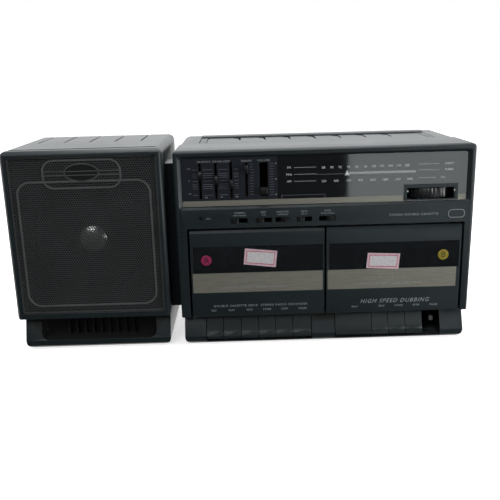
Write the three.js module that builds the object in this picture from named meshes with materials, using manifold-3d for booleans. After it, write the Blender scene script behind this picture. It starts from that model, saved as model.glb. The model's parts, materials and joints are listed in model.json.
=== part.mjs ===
// Twin-deck radio cassette player with a detachable loudspeaker.
// Units are millimetres. Shapes are drawn with X = 0 at the main unit's left
// wall, Y = 0 at the front plane (+Y runs to the back) and Z = 0 on the table.
// Each mesh then gets its own pivot as its origin and is placed by its position
// in nested groups. The outermost group's position puts the origin of the whole
// object at the bottom centre of its bounding box.
import * as THREE from "three";
import { mergeVertices } from "three/addons/utils/BufferGeometryUtils.js";
import Module from "manifold-3d";

const wasm = await Module();
wasm.setup();

// ---------------------------------------------------------------- dimensions
const MAIN = { w: 300, top: 204, depth: 158, under: 31 };
const SEAM_Y = 62;
const WALL = 2.5;
const GAP = 0.3;
const WINDOW = { x0: 7.6, x1: 292.4, z0: 147, z1: 196.4, y: 3, corner: 3 };
const WHEEL = { x: 256.5, y: 27.5, r: 26, z0: 150, z1: 160 };
const DOOR = { z0: 31.3, z1: 122.8, pivotY: 8, pivotZ: 35.5 };
const DECKS = {
  a: {
    x0: 13,
    x1: 149.7,
    rod: [21, 142],
    keys: ["record", "play", "rewind", "fast_forward", "stop_eject", "pause"],
    keyEdges: [26, 43.9, 62.6, 81.1, 99, 117.3, 136.9],
  },
  b: {
    x0: 151.8,
    x1: 289.2,
    rod: [158.7, 281],
    keys: ["play", "rewind", "fast_forward", "stop_eject"],
    keyEdges: [161.9, 200.9, 218.2, 236.4, 254.5],
  },
};
const HUB = { offset: 21.25, z: 84 };
const CAPSTAN = { offset: 37, z: 58 };
const KEY_PIVOT = { y: 44, z: 40, r: 1.5 };
const KEY_FLOOR = 1.2;
const LEVER_X = 264.5;
const HANDLE = { x0: 23.4, x1: 276.6, pivotY: 72, pivotZ: 200, barY0: 118, barY1: 134 };
const GROOVE_PITCH = 27.77;
const SPEAKER = { x0: -168.8, x1: -10.4, z0: 34, z1: 208, depth: 150 };
const DRIVER = { x: -89.6, z: 112 };
const RAIL = { z0: 36, z1: 185, y0: 30, y1: 54 };
const BATTERY = { x0: 85, x1: 235, z0: 42, z1: 98 };
const AERIAL = { x: 277, y: 154.4, z: 191 };
const MIC = { x: 25.4, z: 135.6 };
const POINTER_X = 172.3;
const INLET = { x0: 30, x1: 52, z0: 46, z1: 62 };
const JACKS = { x0: 250, x1: 285, z0: 50, z1: 120, holeX: 267.5, holeZ: [108, 94] };
const MOTOR = { x: 150.8, z: 78 };

// ------------------------------------------------------------------ finishes
const FINISHES = {
  shell: { color: 0x3a3f41, roughness: 0.55, metalness: 0.0 },
  darkPlastic: { color: 0x1b1e20, roughness: 0.5, metalness: 0.0 },
  glossPanel: { color: 0x0e1216, roughness: 0.12, metalness: 0.0 },
  smokedWindow: { color: 0x11161a, roughness: 0.1, metalness: 0.0 },
  knob: { color: 0x15181a, roughness: 0.4, metalness: 0.0 },
  white: { color: 0xd8dad8, roughness: 0.5, metalness: 0.0 },
  steel: { color: 0x9a9c9e, roughness: 0.3, metalness: 1.0 },
  chrome: { color: 0xc8cacc, roughness: 0.12, metalness: 1.0 },
  grille: { color: 0x2c3133, roughness: 0.45, metalness: 0.7 },
  board: { color: 0x6b4a22, roughness: 0.7, metalness: 0.0 },
  magnet: { color: 0x2a2a2c, roughness: 0.6, metalness: 0.3 },
  cone: { color: 0x1c1c1e, roughness: 0.9, metalness: 0.0 },
  copper: { color: 0x7a4a2a, roughness: 0.5, metalness: 0.5 },
};

// -------------------------------------------------------------- solid helpers
/** Turns a three.js geometry into a manifold solid. */
function toSolid(geometry) {
  const bare = new THREE.BufferGeometry();
  bare.setAttribute("position", geometry.getAttribute("position"));
  if (geometry.index) {
    bare.setIndex(geometry.index);
  }
  const merged = mergeVertices(bare, 1e-4);
  const mesh = new wasm.Mesh({
    numProp: 3,
    vertProperties: new Float32Array(merged.getAttribute("position").array),
    triVerts: new Uint32Array(merged.index.array),
  });
  return new wasm.Manifold(mesh);
}

/** Box given by its low and high limit on each axis. */
function box(x0, x1, y0, y1, z0, z1) {
  const geometry = new THREE.BoxGeometry(x1 - x0, y1 - y0, z1 - z0);
  geometry.translate((x0 + x1) / 2, (y0 + y1) / 2, (z0 + z1) / 2);
  return toSolid(geometry);
}

/** Extrudes a closed outline of [u, v] points by depth along local +Z. */
function extrude(points, depth) {
  const shape = new THREE.Shape(points.map(([u, v]) => new THREE.Vector2(u, v)));
  return new THREE.ExtrudeGeometry(shape, { depth, bevelEnabled: false, steps: 1 });
}

/** Outline in X and Z, extruded from y0 to y1. */
function extrudeXZ(points, y0, y1) {
  const geometry = extrude(points, y1 - y0);
  geometry.rotateX(Math.PI / 2);
  geometry.translate(0, y1, 0);
  return toSolid(geometry);
}

/** Outline in Y and Z, extruded from x0 to x1. */
function extrudeYZ(points, x0, x1) {
  const geometry = extrude(points, x1 - x0);
  const turn = new THREE.Matrix4().makeBasis(
    new THREE.Vector3(0, 1, 0),
    new THREE.Vector3(0, 0, 1),
    new THREE.Vector3(1, 0, 0),
  );
  geometry.applyMatrix4(turn);
  geometry.translate(x0, 0, 0);
  return toSolid(geometry);
}

/** Outline in X and Y, extruded from z0 to z1. */
function extrudeXY(points, z0, z1) {
  const geometry = extrude(points, z1 - z0);
  geometry.translate(0, 0, z0);
  return toSolid(geometry);
}

/** Regular outline of n points round (u, v). */
function circle(u, v, r, n = 24) {
  const points = [];
  for (let i = 0; i < n; i += 1) {
    const angle = (2 * Math.PI * (i + 0.5)) / n;
    points.push([u + r * Math.cos(angle), v + r * Math.sin(angle)]);
  }
  return points;
}

/** Rectangle outline with its own radius at each corner (low-low first, anticlockwise). */
function roundRect(u0, u1, v0, v1, radii, steps = 5) {
  const [r0, r1, r2, r3] = Array.isArray(radii) ? radii : [radii, radii, radii, radii];
  const corners = [
    { u: u0 + r0, v: v0 + r0, r: r0, from: Math.PI },
    { u: u1 - r1, v: v0 + r1, r: r1, from: 1.5 * Math.PI },
    { u: u1 - r2, v: v1 - r2, r: r2, from: 0 },
    { u: u0 + r3, v: v1 - r3, r: r3, from: 0.5 * Math.PI },
  ];
  const points = [];
  for (const corner of corners) {
    const count = corner.r > 0 ? steps : 0;
    for (let i = 0; i <= count; i += 1) {
      const angle = corner.from + (count ? (Math.PI / 2) * (i / count) : 0);
      points.push([corner.u + corner.r * Math.cos(angle), corner.v + corner.r * Math.sin(angle)]);
    }
  }
  return points;
}

/** Round bar along Y. */
function rodY(x, z, r, y0, y1, n = 24) {
  return extrudeXZ(circle(x, z, r, n), y0, y1);
}

/** Round bar along X. */
function rodX(y, z, r, x0, x1, n = 16) {
  return extrudeYZ(circle(y, z, r, n), x0, x1);
}

/** Solid of revolution about the Y axis through (x, z); profile is [radius, y]. */
function latheY(x, z, profile, n = 32) {
  const points = profile.map(([r, y]) => new THREE.Vector2(r, y));
  points.push(points[0].clone());
  const geometry = new THREE.LatheGeometry(points, n);
  geometry.translate(x, 0, z);
  const solid = toSolid(geometry);
  if (solid.volume() > 0) {
    return solid;
  }
  const flipped = geometry.index.array;
  for (let i = 0; i < flipped.length; i += 3) {
    [flipped[i], flipped[i + 1]] = [flipped[i + 1], flipped[i]];
  }
  return toSolid(geometry);
}

/** Union of a list of solids. */
function join(parts) {
  return parts.reduce((sum, part) => sum.add(part));
}

/** First solid less all the others. */
function cut(body, tools) {
  return tools.reduce((rest, tool) => rest.subtract(tool), body);
}

/** Wedge-sided pocket: outline a at y0 blending to outline b at y1, both with as many [x, z] points. */
function taperPocket(a, b, y0, y1) {
  const count = a.length;
  const ring = (outline, y) => outline.flatMap(([x, z]) => [x, y, z]);
  const faces = [];
  for (let i = 0; i < count; i += 1) {
    const j = (i + 1) % count;
    faces.push(i, i + count, j, j, i + count, j + count);
  }
  for (let i = 1; i < count - 1; i += 1) {
    faces.push(0, i, i + 1, count, count + i + 1, count + i);
  }
  const geometry = new THREE.BufferGeometry();
  const positions = new Float32Array([...ring(a, y0), ...ring(b, y1)]);
  geometry.setAttribute("position", new THREE.BufferAttribute(positions, 3));
  geometry.setIndex(faces);
  return toSolid(geometry);
}

// ----------------------------------------------------------------- scene graph
/** Group whose own origin is at (x, y, z) of the main unit. */
function groupAt(x, y, z) {
  const group = new THREE.Group();
  group.position.set(x, y, z);
  return group;
}

/** Adds a solid to a group as a named mesh that turns or slides about its pivot [x, y, z]. */
function addNode(group, name, solid, finish, pivot = group.position.toArray()) {
  const mesh = solid.translate(pivot.map((value) => -value)).getMesh();
  const geometry = new THREE.BufferGeometry();
  geometry.setAttribute("position", new THREE.BufferAttribute(new Float32Array(mesh.vertProperties), 3));
  geometry.setIndex(new THREE.BufferAttribute(new Uint32Array(mesh.triVerts), 1));
  geometry.computeVertexNormals();
  const material = new THREE.MeshStandardMaterial(FINISHES[finish]);
  material.name = finish;
  const node = new THREE.Mesh(geometry, material);
  node.name = name;
  node.position.fromArray(pivot).sub(group.position);
  group.add(node);
}

// ------------------------------------------------------------------ main unit
const SWITCH_SLOTS = [
  { name: "dubbing_switch", x0: 54.6, x1: 72.2, knobAt: 0 },
  { name: "beat_switch", x0: 80.4, x1: 96.5, knobAt: 0 },
  { name: "function_switch", x0: 100.1, x1: 114.6, knobAt: 1 },
  { name: "band_switch", x0: 121.3, x1: 136.9, knobAt: 0 },
  { name: "mode_switch", x0: 144.2, x1: 160.8, knobAt: 1 },
];
const SWITCH_Z = { z0: 129.8, z1: 135.1 };
const SWITCH_KNOB_W = 8;

const SLIDERS = [
  { name: "eq_slider_low", x: 26.2, z0: 155, z1: 191.3, knob: [174.4, 183.6], w: 3.2, slot: 2.4 },
  { name: "eq_slider_mid", x: 41.9, z0: 155, z1: 191.3, knob: [169.3, 178.9], w: 3.2, slot: 2.4 },
  { name: "eq_slider_high", x: 57, z0: 155, z1: 191.3, knob: [164.9, 174.5], w: 3.2, slot: 2.4 },
  { name: "balance_slider", x: 72.2, z0: 156.7, z1: 190.5, knob: [179, 188.6], w: 3.2, slot: 2.4 },
  { name: "volume_slider", x: 89.4, z0: 156.8, z1: 190.2, knob: [157.8, 166], w: 7.2, slot: 8 },
];

/** Outline of the dial window's opening, shrunk by inset on every side. */
function windowOutline(inset) {
  const { x0, x1, z0, z1, corner } = WINDOW;
  return roundRect(x0 + inset, x1 - inset, z0 + inset, z1 - inset, corner - inset);
}

/** One half of the T-shaped docking rail on a side wall; side is -1 or +1. */
function dockingRail(wallX, side) {
  const at = (near, far) => (side < 0 ? [wallX - far, wallX - near] : [wallX + near, wallX + far]);
  const stem = box(...at(-1, 5), 37, 47, RAIL.z0, RAIL.z1);
  const flange = box(...at(4.5, 7.5), RAIL.y0, RAIL.y1, RAIL.z0, RAIL.z1);
  return stem.add(flange);
}

function buildFrontCabinet() {
  const { w, top, under } = MAIN;
  const outline = [
    [1.2, under],
    [w - 1.2, under],
    [w, 125],
    ...roundRect(0, w, 125, top, [0, 0, 5, 5], 5).slice(2, -1).filter(([, z]) => z > 126),
    [0, top - 5],
    [0, 125],
  ];
  const chamferTop = [
    [SEAM_Y, 0], [SEAM_Y, top], [2.5, top], [0, top - 2.5], [0, 0],
  ];
  const chamferSides = [
    [0, SEAM_Y], [0, 2.5], [2.5, 0], [w - 2.5, 0], [w, 2.5], [w, SEAM_Y],
  ];
  const outer = extrudeXZ(outline, 0, SEAM_Y)
    .intersect(extrudeYZ(chamferTop, -1, w + 1))
    .intersect(extrudeXY(chamferSides, 0, top + 1));
  const tools = [
    box(6, w - 6, 5, SEAM_Y + 1, under + WALL, top - WALL),
    box(2.5, w - 2.5, 5, SEAM_Y + 1, 120, top - 6),
    box(12, w - 12, 8, SEAM_Y + 1, under - 1, under + 5),
    box(10.8, 291.4, -1, 9, under - 1, 125.3),
    taperPocket(roundRect(4.2, w - 4.2, 144.8, 198.6, WINDOW.corner), windowOutline(0), -0.01, WINDOW.y),
    extrudeXZ(windowOutline(0), 1, 6),
    rodY(MIC.x, MIC.z, 1.8, -1, 6, 16),
  ];
  for (const slot of SWITCH_SLOTS) {
    tools.push(box(slot.x0, slot.x1, -1, 6, SWITCH_Z.z0, SWITCH_Z.z1));
  }
  const shell = cut(outer, tools);
  return join([shell, dockingRail(0, -1), dockingRail(w, 1)]);
}

function buildRearCabinet() {
  const { w, top, depth, under } = MAIN;
  const y0 = SEAM_Y + GAP;
  const outer = extrudeXZ(roundRect(0, w, under, top, [2, 2, 9, 9], 5), y0, depth)
    .intersect(extrudeYZ(roundRect(0, depth, 0, top, [0, 0, 9, 0], 5), -1, w + 1))
    .intersect(extrudeXY(roundRect(0, w, -20, depth, [0, 0, 9, 9], 5), 0, top + 1));
  const hollow = box(WALL, w - WALL, y0 - 1, depth - WALL, under + WALL, top - 8)
    .intersect(extrudeXY(roundRect(WALL, w - WALL, -20, depth - WALL, [0, 0, 7, 7], 5), 0, top));
  const hollowTop = box(8, w - 8, y0 - 1, depth - 8, under + WALL, top - WALL);
  const tray = box(17, w - 17, y0 + 1, 141, 192, top - 1);
  const trayHollow = box(36, w - 36, y0, 98, 190, top - WALL);
  const bay = box(BATTERY.x0 - 3, BATTERY.x1 + 3, 118, depth - 1, BATTERY.z0 - 3, BATTERY.z1 + 3);
  const shelf = box(2, w - 8, 147, depth - 1, 183, 200);
  const blocks = [
    box(24, 58, 138, depth - 1, 42, 66),
    box(246, 289, 152, depth - 1, 46, 124),
  ];
  const body = join([
    cut(outer, [hollow, hollowTop]),
    cut(tray, [trayHollow]),
    bay,
    shelf,
    ...blocks,
  ]);
  const tools = [
    box(HANDLE.x0 - 0.8, 31.3, 67.3, 137, 194.5, top + 1),
    box(268.7, HANDLE.x1 + 0.8, 67.3, 137, 194.5, top + 1),
    box(HANDLE.x0 - 0.8, HANDLE.x1 + 0.8, 113.5, 137, 194.5, top + 1),
    rodX(HANDLE.pivotY, HANDLE.pivotZ, 1.65, 20.4, 24, 16),
    rodX(HANDLE.pivotY, HANDLE.pivotZ, 1.65, 276, 279.6, 16),
    box(BATTERY.x0, BATTERY.x1, 121, depth + 1, BATTERY.z0, BATTERY.z1),
    box(-1, 287, 150.2, depth + 1, 186.5, top + 1),
    box(INLET.x0 - GAP, INLET.x1 + GAP, 135, depth + 1, INLET.z0 - GAP, INLET.z1 + GAP),
    box(JACKS.x0, JACKS.x1, 150, depth + 1, JACKS.z0, JACKS.z1),
    box(12, w - 12, y0 - 1, 150, under - 1, under + 3),
  ];
  for (let i = 0; i < 7; i += 1) {
    const x = 66.7 + GROOVE_PITCH * i;
    const pocket = [[x + 1, 102], [x + 1, 114], [x - 7, 114], [x - 7, 110.5]];
    tools.push(box(x - 1, x + 1, 84, 114, top - 1.2, top + 1));
    tools.push(extrudeXY(pocket, top - 3.5, top + 1));
  }
  return cut(body, tools);
}

function buildPlinth() {
  const { w } = MAIN;
  const outline = roundRect(3, w - 3, 0, MAIN.under - GAP, [7, 7, 0, 0], 5);
  const side = [
    [7, 0], [4.6, 2.4], [4.2, 8], [9, 20], [13.5, MAIN.under], [152, MAIN.under], [152, 3], [149, 0],
  ];
  const outer = extrudeXZ(outline, 0, 155).intersect(extrudeYZ(side, 0, w));
  const tools = [
    box(6.5, w - 6.5, 21, 148, 8, MAIN.under + 1),
    box(12, w - 12, 21, 148, 2.4, 9),
    box(25.5, 137.4, 0, 22, KEY_FLOOR, MAIN.under + 1),
    box(161.4, 273, 0, 22, KEY_FLOOR, MAIN.under + 1),
  ];
  return cut(outer, tools);
}

function buildDialWindow() {
  const panel = extrudeXZ(windowOutline(GAP), WINDOW.y, WINDOW.y + 1.6);
  const tools = [box(232.4, 280.6, 2, 6, 149.1, 160.8)];
  for (const slider of SLIDERS) {
    const half = slider.slot / 2;
    tools.push(box(slider.x - half, slider.x + half, 2, 6, slider.z0, slider.z1));
  }
  const lip = cut(box(229.4, 283.6, 2.2, 3.4, 148.2, 164.2), [box(232.4, 280.6, 2, 4, 149.1, 160.8)]);
  return cut(panel, tools).add(lip);
}

function buildDialPlate() {
  const plate = box(104, 290.5, 12, 13.2, 148, 195.4);
  return cut(plate, [box(228.5, 284.5, 11, 14, 147, 162.4)]);
}

function buildPointer() {
  const x = POINTER_X;
  const bar = box(x - 0.7, x + 0.7, 8.4, 9.4, 164, 192);
  const arrow = extrudeXZ([[x - 2.6, 175.4], [x + 2.6, 175.4], [x, 180.6]], 7.9, 9.4);
  const carriage = box(x - 5, x + 5, 7.6, 10.6, 191, 195);
  return join([bar, arrow, carriage]);
}

function buildWheel() {
  const points = [];
  const teeth = 40;
  for (let i = 0; i < teeth * 2; i += 1) {
    const angle = (Math.PI * i) / teeth;
    const r = i % 2 ? WHEEL.r - 0.9 : WHEEL.r;
    points.push([WHEEL.x + r * Math.cos(angle), WHEEL.y + r * Math.sin(angle)]);
  }
  const rim = extrudeXY(points, WHEEL.z0, WHEEL.z1);
  const recess = extrudeXY(circle(WHEEL.x, WHEEL.y, 20, 28), WHEEL.z0 + 4, WHEEL.z1 + 1);
  const hub = extrudeXY(circle(WHEEL.x, WHEEL.y, 5, 20), WHEEL.z0 - 6, WHEEL.z1 + 6);
  return rim.subtract(recess).add(hub);
}

function buildSlider(slider) {
  const [k0, k1] = slider.knob;
  const mid = (k0 + k1) / 2;
  const half = slider.w / 2;
  const crown = [
    [-1.2, k0 + 1], [-2, mid - 0.7], [-2, mid + 0.7], [-1.2, k1 - 1],
    [2.6, k1], [2.6, k0],
  ];
  const grip = extrudeYZ(crown, slider.x - half, slider.x + half);
  const stem = box(slider.x - 0.8, slider.x + 0.8, 2, 14, mid - 2, mid + 2);
  return grip.add(stem);
}

function switchKnobStart(slot) {
  const free = slot.x1 - slot.x0 - SWITCH_KNOB_W - 2 * GAP;
  return slot.x0 + GAP + free * slot.knobAt;
}

function buildSwitch(slot) {
  const x0 = switchKnobStart(slot);
  const x1 = x0 + SWITCH_KNOB_W;
  const mid = (x0 + x1) / 2;
  const z0 = SWITCH_Z.z0 + GAP;
  const z1 = SWITCH_Z.z1 - GAP;
  const knob = box(x0, x1, 0.8, 8, z0, z1);
  const ridge = box(mid - 0.8, mid + 0.8, -0.6, 1, z0, z1);
  const flange = box(x0 - 0.6, x1 + 0.6, 5.4, 7, z0 - 1.2, z1 + 1.2);
  return join([knob, ridge, flange]);
}

function buildMicrophone() {
  return join([rodY(MIC.x, MIC.z, 1.5, 1.2, 6, 16), rodY(MIC.x, MIC.z, 3.4, 5.5, 13, 16)]);
}

// -------------------------------------------------------------- cassette decks
function deckCentre(deck) {
  return (deck.x0 + deck.x1) / 2;
}

function buildDoor(deck) {
  const c = deckCentre(deck);
  const { z0, z1 } = DOOR;
  const side = [[0.8, z0], [0.3, z0 + 1], [0.3, z1 - 2.5], [1.6, z1], [5.5, z1], [5.5, z0]];
  const panel = extrudeYZ(side, deck.x0, deck.x1);
  const tools = [
    box(deck.x0 + 2.8, deck.x1 - 1.6, -1, 2.2, 78.3, 106.1),
    box(c - 37.5, c + 37.5, 1, 7, 80.5, 103.2),
  ];
  const guides = [-1, 1].flatMap((side2) => {
    const wall = side2 < 0 ? [c - 52.9, c - 50.4] : [c + 50.4, c + 52.9];
    const lip = side2 < 0 ? [c - 51, c - 47.4] : [c + 47.4, c + 51];
    return [
      box(...wall, 5, 19.5, 38, 96),
      box(...lip, 17.9, 19.5, 38, 96),
    ];
  });
  const knuckles = [
    rodX(DOOR.pivotY, DOOR.pivotZ, 3, deck.x0 + 3, deck.x0 + 10, 16),
    rodX(DOOR.pivotY, DOOR.pivotZ, 3, deck.x1 - 10, deck.x1 - 3, 16),
  ];
  return join([cut(panel, tools), ...guides, ...knuckles]);
}

function buildDoorWindow(deck) {
  return box(deck.x0 + 3.05, deck.x1 - 1.85, 0.4, 1.95, 78.55, 105.85);
}

function buildChassis(deck) {
  const c = deckCentre(deck);
  const [rodFrom, rodTo] = deck.rod;
  const plate = box(c - 62, c + 62, 24, 26, 38, 121);
  const holes = [-1, 1].map((side) => rodY(c + side * HUB.offset, HUB.z, 4, 23, 27, 20));
  holes.push(rodY(c + CAPSTAN.offset, CAPSTAN.z, 2.2, 23, 27, 16));
  const flanges = [
    box(c - 62, c + 62, 25, 31, 119, 121),
    box(rodFrom, rodFrom + 2.3, 25, 48.5, 36, 50),
    box(rodTo - 2.3, rodTo, 25, 48.5, 36, 50),
    rodX(KEY_PIVOT.y, KEY_PIVOT.z, KEY_PIVOT.r, rodFrom + 1, rodTo - 1, 16),
  ];
  return join([cut(plate, holes), ...flanges]);
}

function buildSpindle(x) {
  const star = [];
  for (let i = 0; i < 12; i += 1) {
    const angle = (Math.PI * i) / 6;
    const r = i % 2 ? 2.6 : 4.3;
    star.push([x + r * Math.cos(angle), HUB.z + r * Math.sin(angle)]);
  }
  return join([
    rodY(x, HUB.z, 1.8, 9.6, 12, 12),
    extrudeXZ(star, 11, 22),
    rodY(x, HUB.z, 11, 21, 23.4, 28),
    rodY(x, HUB.z, 3.5, 23, 30, 20),
    rodY(x, HUB.z, 9, 27, 30, 24),
  ]);
}

function buildCapstan(deck) {
  const x = deckCentre(deck) + CAPSTAN.offset;
  return join([
    rodY(x, CAPSTAN.z, 1.2, 10, 28, 12),
    rodY(x, CAPSTAN.z, 16, 27.5, 32, 36),
    rodY(x, CAPSTAN.z, 2.5, 31, 36, 16),
  ]);
}

function buildHeadBridge(deck) {
  const c = deckCentre(deck);
  return join([
    box(c - 40, c + 43, 15, 21, 38.5, 43),
    box(c - 8, c + 8, 10, 20, 42, 51),
    box(c - 30, c - 22, 11, 19, 42, 50),
    box(c + 33, c + 41, 19, 21, 42, 50),
    rodY(c + CAPSTAN.offset, 46, 5.5, 11, 19.5, 20),
  ]);
}

/** Side outline of a piano key's cap: hollow finger face flaring out to a lip. */
const KEY_CAP = [
  [12.6, 29.3], [10.6, 24.5], [8.7, 19], [7, 13.5], [5.4, 9.6], [3.6, 8], [3.4, 5.2], [4.6, 4.6],
  [7.6, 4.6], [9.6, 10], [12.5, 17.5], [17.4, 20.5], [17.4, 29.3],
];

function buildKey(x0, x1) {
  const mid = (x0 + x1) / 2;
  const cap = extrudeYZ(KEY_CAP, x0 + 0.3, x1 - 0.3);
  return keyWithArm(cap, mid, 3);
}

function keyWithArm(cap, mid, half) {
  const { y, z, r } = KEY_PIVOT;
  const arm = box(mid - half, mid + half, 11, y + 3, 16, 21);
  const post = box(mid - half, mid + half, y - 3, y + 3, 16, z);
  const eye = rodX(y, z, 3, mid - half, mid + half, 20);
  const bore = rodX(y, z, r + 0.1, mid - half - 1, mid + half + 1, 16);
  const parts = cap ? [cap, arm, post, eye] : [arm, post, eye];
  return join(parts).subtract(bore);
}

// ------------------------------------------------------- handle, aerial, rear
function buildHandle() {
  const { x0, x1, pivotY, pivotZ, barY0, barY1 } = HANDLE;
  const armOutline = [
    ...circle(pivotY, pivotZ, 4, 24).filter(([y]) => y <= pivotY + 0.01)
      .sort((a, b) => Math.atan2(a[1] - pivotZ, pivotY + 1e-6 - a[0]) - Math.atan2(b[1] - pivotZ, pivotY + 1e-6 - b[0])),
  ];
  const arm = [...armOutline.reverse(), [126, pivotZ - 4], [126, pivotZ + 4]];
  const barOutline = roundRect(barY0, barY1, 196, 206.4, 3.5, 4);
  return join([
    extrudeYZ(arm, x0, x0 + 7.1),
    extrudeYZ(arm, x1 - 7.1, x1),
    extrudeYZ(barOutline, x0, x1),
    rodX(pivotY, pivotZ, 1.5, x0 - 2.4, x0 + 1, 16),
    rodX(pivotY, pivotZ, 1.5, x1 - 1, x1 + 2.4, 16),
  ]);
}

function buildAerialMast() {
  const { x, y, z } = AERIAL;
  const tube = rodX(y, z, 2.6, 92, x - 3, 16);
  const bore = rodX(y, z, 2, 91, x - 20, 16);
  const swivel = rodY(x, z, 4.2, y - 3.4, y + 3.2, 20);
  return tube.add(swivel).subtract(bore);
}

function buildAerialTip() {
  const { y, z } = AERIAL;
  return rodX(y, z, 1.7, 91, 250, 16).add(rodX(y, z, 2.6, 85, 91.4, 16));
}

function buildBatteryCover() {
  const { depth } = MAIN;
  const plate = box(
    BATTERY.x0 + GAP, BATTERY.x1 - GAP, depth - 2.6, depth - 0.2,
    BATTERY.z0 + GAP, BATTERY.z1 - GAP,
  );
  const ribs = [];
  for (let i = 0; i < 5; i += 1) {
    ribs.push(box(148 + i * 5, 150.4 + i * 5, depth - 0.6, depth + 0.6, 82, 94));
  }
  return join([plate, ...ribs]);
}

function buildInlet() {
  const { depth } = MAIN;
  const body = box(INLET.x0, INLET.x1, 141, depth - 0.2, INLET.z0, INLET.z1);
  const well = extrudeXZ(roundRect(33, 49, 49.5, 58.5, 4, 4), 146, depth + 1);
  const pins = [37, 45].map((x) => rodY(x, 54, 1.2, 145, 155, 12));
  return join([body.subtract(well), ...pins]);
}

function buildJackPanel() {
  const { depth } = MAIN;
  const plate = box(
    JACKS.x0 + GAP, JACKS.x1 - GAP, depth - 5, depth - GAP, JACKS.z0 + GAP, JACKS.z1 - GAP,
  );
  const jacks = JACKS.holeZ.map((z) => rodY(JACKS.holeX, z, 3.2, depth - 6, depth + 1, 20));
  const clips = [
    box(256, 263, depth - 3, depth + 0.8, 74, 82),
    box(272, 279, depth - 3, depth + 0.8, 74, 82),
    box(256, 263, depth - 3, depth + 0.8, 58, 66),
    box(272, 279, depth - 3, depth + 0.8, 58, 66),
  ];
  return join([cut(plate, jacks), ...clips]);
}

// ------------------------------------------------------------------- internals
function buildMotor() {
  return join([
    rodY(MOTOR.x, MOTOR.z, 15, 37, 57, 28),
    rodY(MOTOR.x, MOTOR.z, 1.4, 28, 38, 12),
    rodY(MOTOR.x, MOTOR.z, 5, 28, 32, 20),
  ]);
}

function buildCircuitBoard() {
  const board = box(14, 286, 57.5, 59.1, 128, 192);
  const parts = [
    box(240, 262, 54.2, 58, 168, 186),
    rodY(40, 150, 6, 44, 58, 16),
    rodY(60, 150, 6, 44, 58, 16),
    box(90, 106, 50, 58, 140, 148),
    box(120, 150, 48, 58, 164, 176),
  ];
  return join([board, ...parts]);
}

function buildTransformer() {
  return join([
    box(30, 74, 98, 112, 34.2, 72),
    box(34, 70, 92, 118, 41, 65),
  ]);
}

// --------------------------------------------------------------------- speaker
function buildSpeakerCabinet() {
  const { x0, x1, z0, z1, depth } = SPEAKER;
  const outer = extrudeXZ(roundRect(x0, x1, z0, z1, [3, 3, 8, 8], 5), 12.4, depth)
    .intersect(extrudeYZ(roundRect(-20, depth, z0, z1, [0, 3, 9, 0], 5), x0, x1))
    .intersect(extrudeXY(roundRect(x0, x1, -20, depth, [0, 0, 9, 9], 5), z0, z1));
  const tools = [box(x0 + 4, x1 - 4, 11, depth - 4, z0 + 4, z1 - 6)];
  for (const x of [-150, -122.5, -95, -67.7, -39.7]) {
    tools.push(box(x - 1, x + 1, 72, depth - 3, z1 - 1.2, z1 + 1));
  }
  const hooks = [
    box(x1 - 1, -1.2, 25.6, 29.4, RAIL.z0, 189),
    box(x1 - 1, -1.2, 54.6, 58.4, RAIL.z0, 189),
    box(-4.1, -1.2, 25.6, 36.6, RAIL.z0, 189),
    box(-4.1, -1.2, 47.4, 58.4, RAIL.z0, 189),
    box(x1 - 1, -1.2, 25.6, 58.4, RAIL.z1 + GAP, 189),
  ];
  const terminalBlock = box(-112, -68, depth - 14, depth - 2, 60, 86);
  const terminalWell = box(-109, -71, depth - 11, depth + 1, 63, 83);
  const posts = [-99, -81].map((x) => rodY(x, 73, 3.4, depth - 12, depth - 1, 16));
  return join([cut(outer, tools), ...hooks, terminalBlock]).subtract(terminalWell).add(join(posts));
}

function buildSpeakerFrame() {
  const { x0, x1, z0, z1 } = SPEAKER;
  const outline = roundRect(x0, x1, z0, z1, [3, 3, 7, 7], 5);
  const chamferTop = [[13, z0 - 1], [13, z1 - 0.5], [3.5, z1 - 0.5], [0, z1 - 4], [0, z0 - 1]];
  const chamferSides = [
    [x0, 13], [x0, 2.5], [x0 + 2.5, 0], [x1 - 2.5, 0], [x1, 2.5], [x1, 13],
  ];
  const outer = extrudeXZ(outline, 0, 12)
    .intersect(extrudeYZ(chamferTop, x0, x1))
    .intersect(extrudeXY(chamferSides, z0, z1));
  return cut(outer, [
    box(-163.4, -15.8, -1, 7.5, 39.3, 201.6),
    rodY(DRIVER.x, DRIVER.z, 56, 7, 13, 48),
  ]);
}

function buildGrille() {
  const plate = box(-163.1, -16.1, 2.4, 3.4, 39.6, 201.3);
  const ring = (grow, y0, y1) => extrudeXZ(
    roundRect(-155.4 - grow, -23.8 + grow, 47.5 - grow, 176.5 + grow, 13 + grow, 6), y0, y1,
  );
  const bead = ring(1.1, 1.6, 3).subtract(ring(-1.1, 1, 4));
  const badgeBlock = extrudeXZ(roundRect(-129.4, -51, 169, 198.5, 9, 5), 1.6, 3);
  const badgeWell = extrudeXZ(roundRect(-126.8, -53.6, 171.6, 195.9, 7, 5), 1, 2.4);
  const badgeBar = box(-127.4, -53, 1.6, 3, 183.7, 185.7);
  const rails = [
    box(-163.1, -16.1, 3, 7, 39.6, 41.2),
    box(-163.1, -16.1, 3, 7, 199.7, 201.3),
  ];
  return join([
    plate,
    bead.subtract(extrudeXZ(roundRect(-129.4, -51, 160, 198.5, 0.5, 2), 1, 2.4)),
    badgeBlock.subtract(badgeWell),
    badgeBar,
    ...rails,
  ]);
}

function buildDriver() {
  return latheY(DRIVER.x, DRIVER.z, [
    [57.5, 12.3], [64, 12.3], [64, 15], [60, 15], [40, 40], [40, 56], [6, 56], [6, 53],
    [24, 53], [24, 40], [36, 38], [54, 17.5], [57.5, 15.5],
  ], 32);
}

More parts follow.
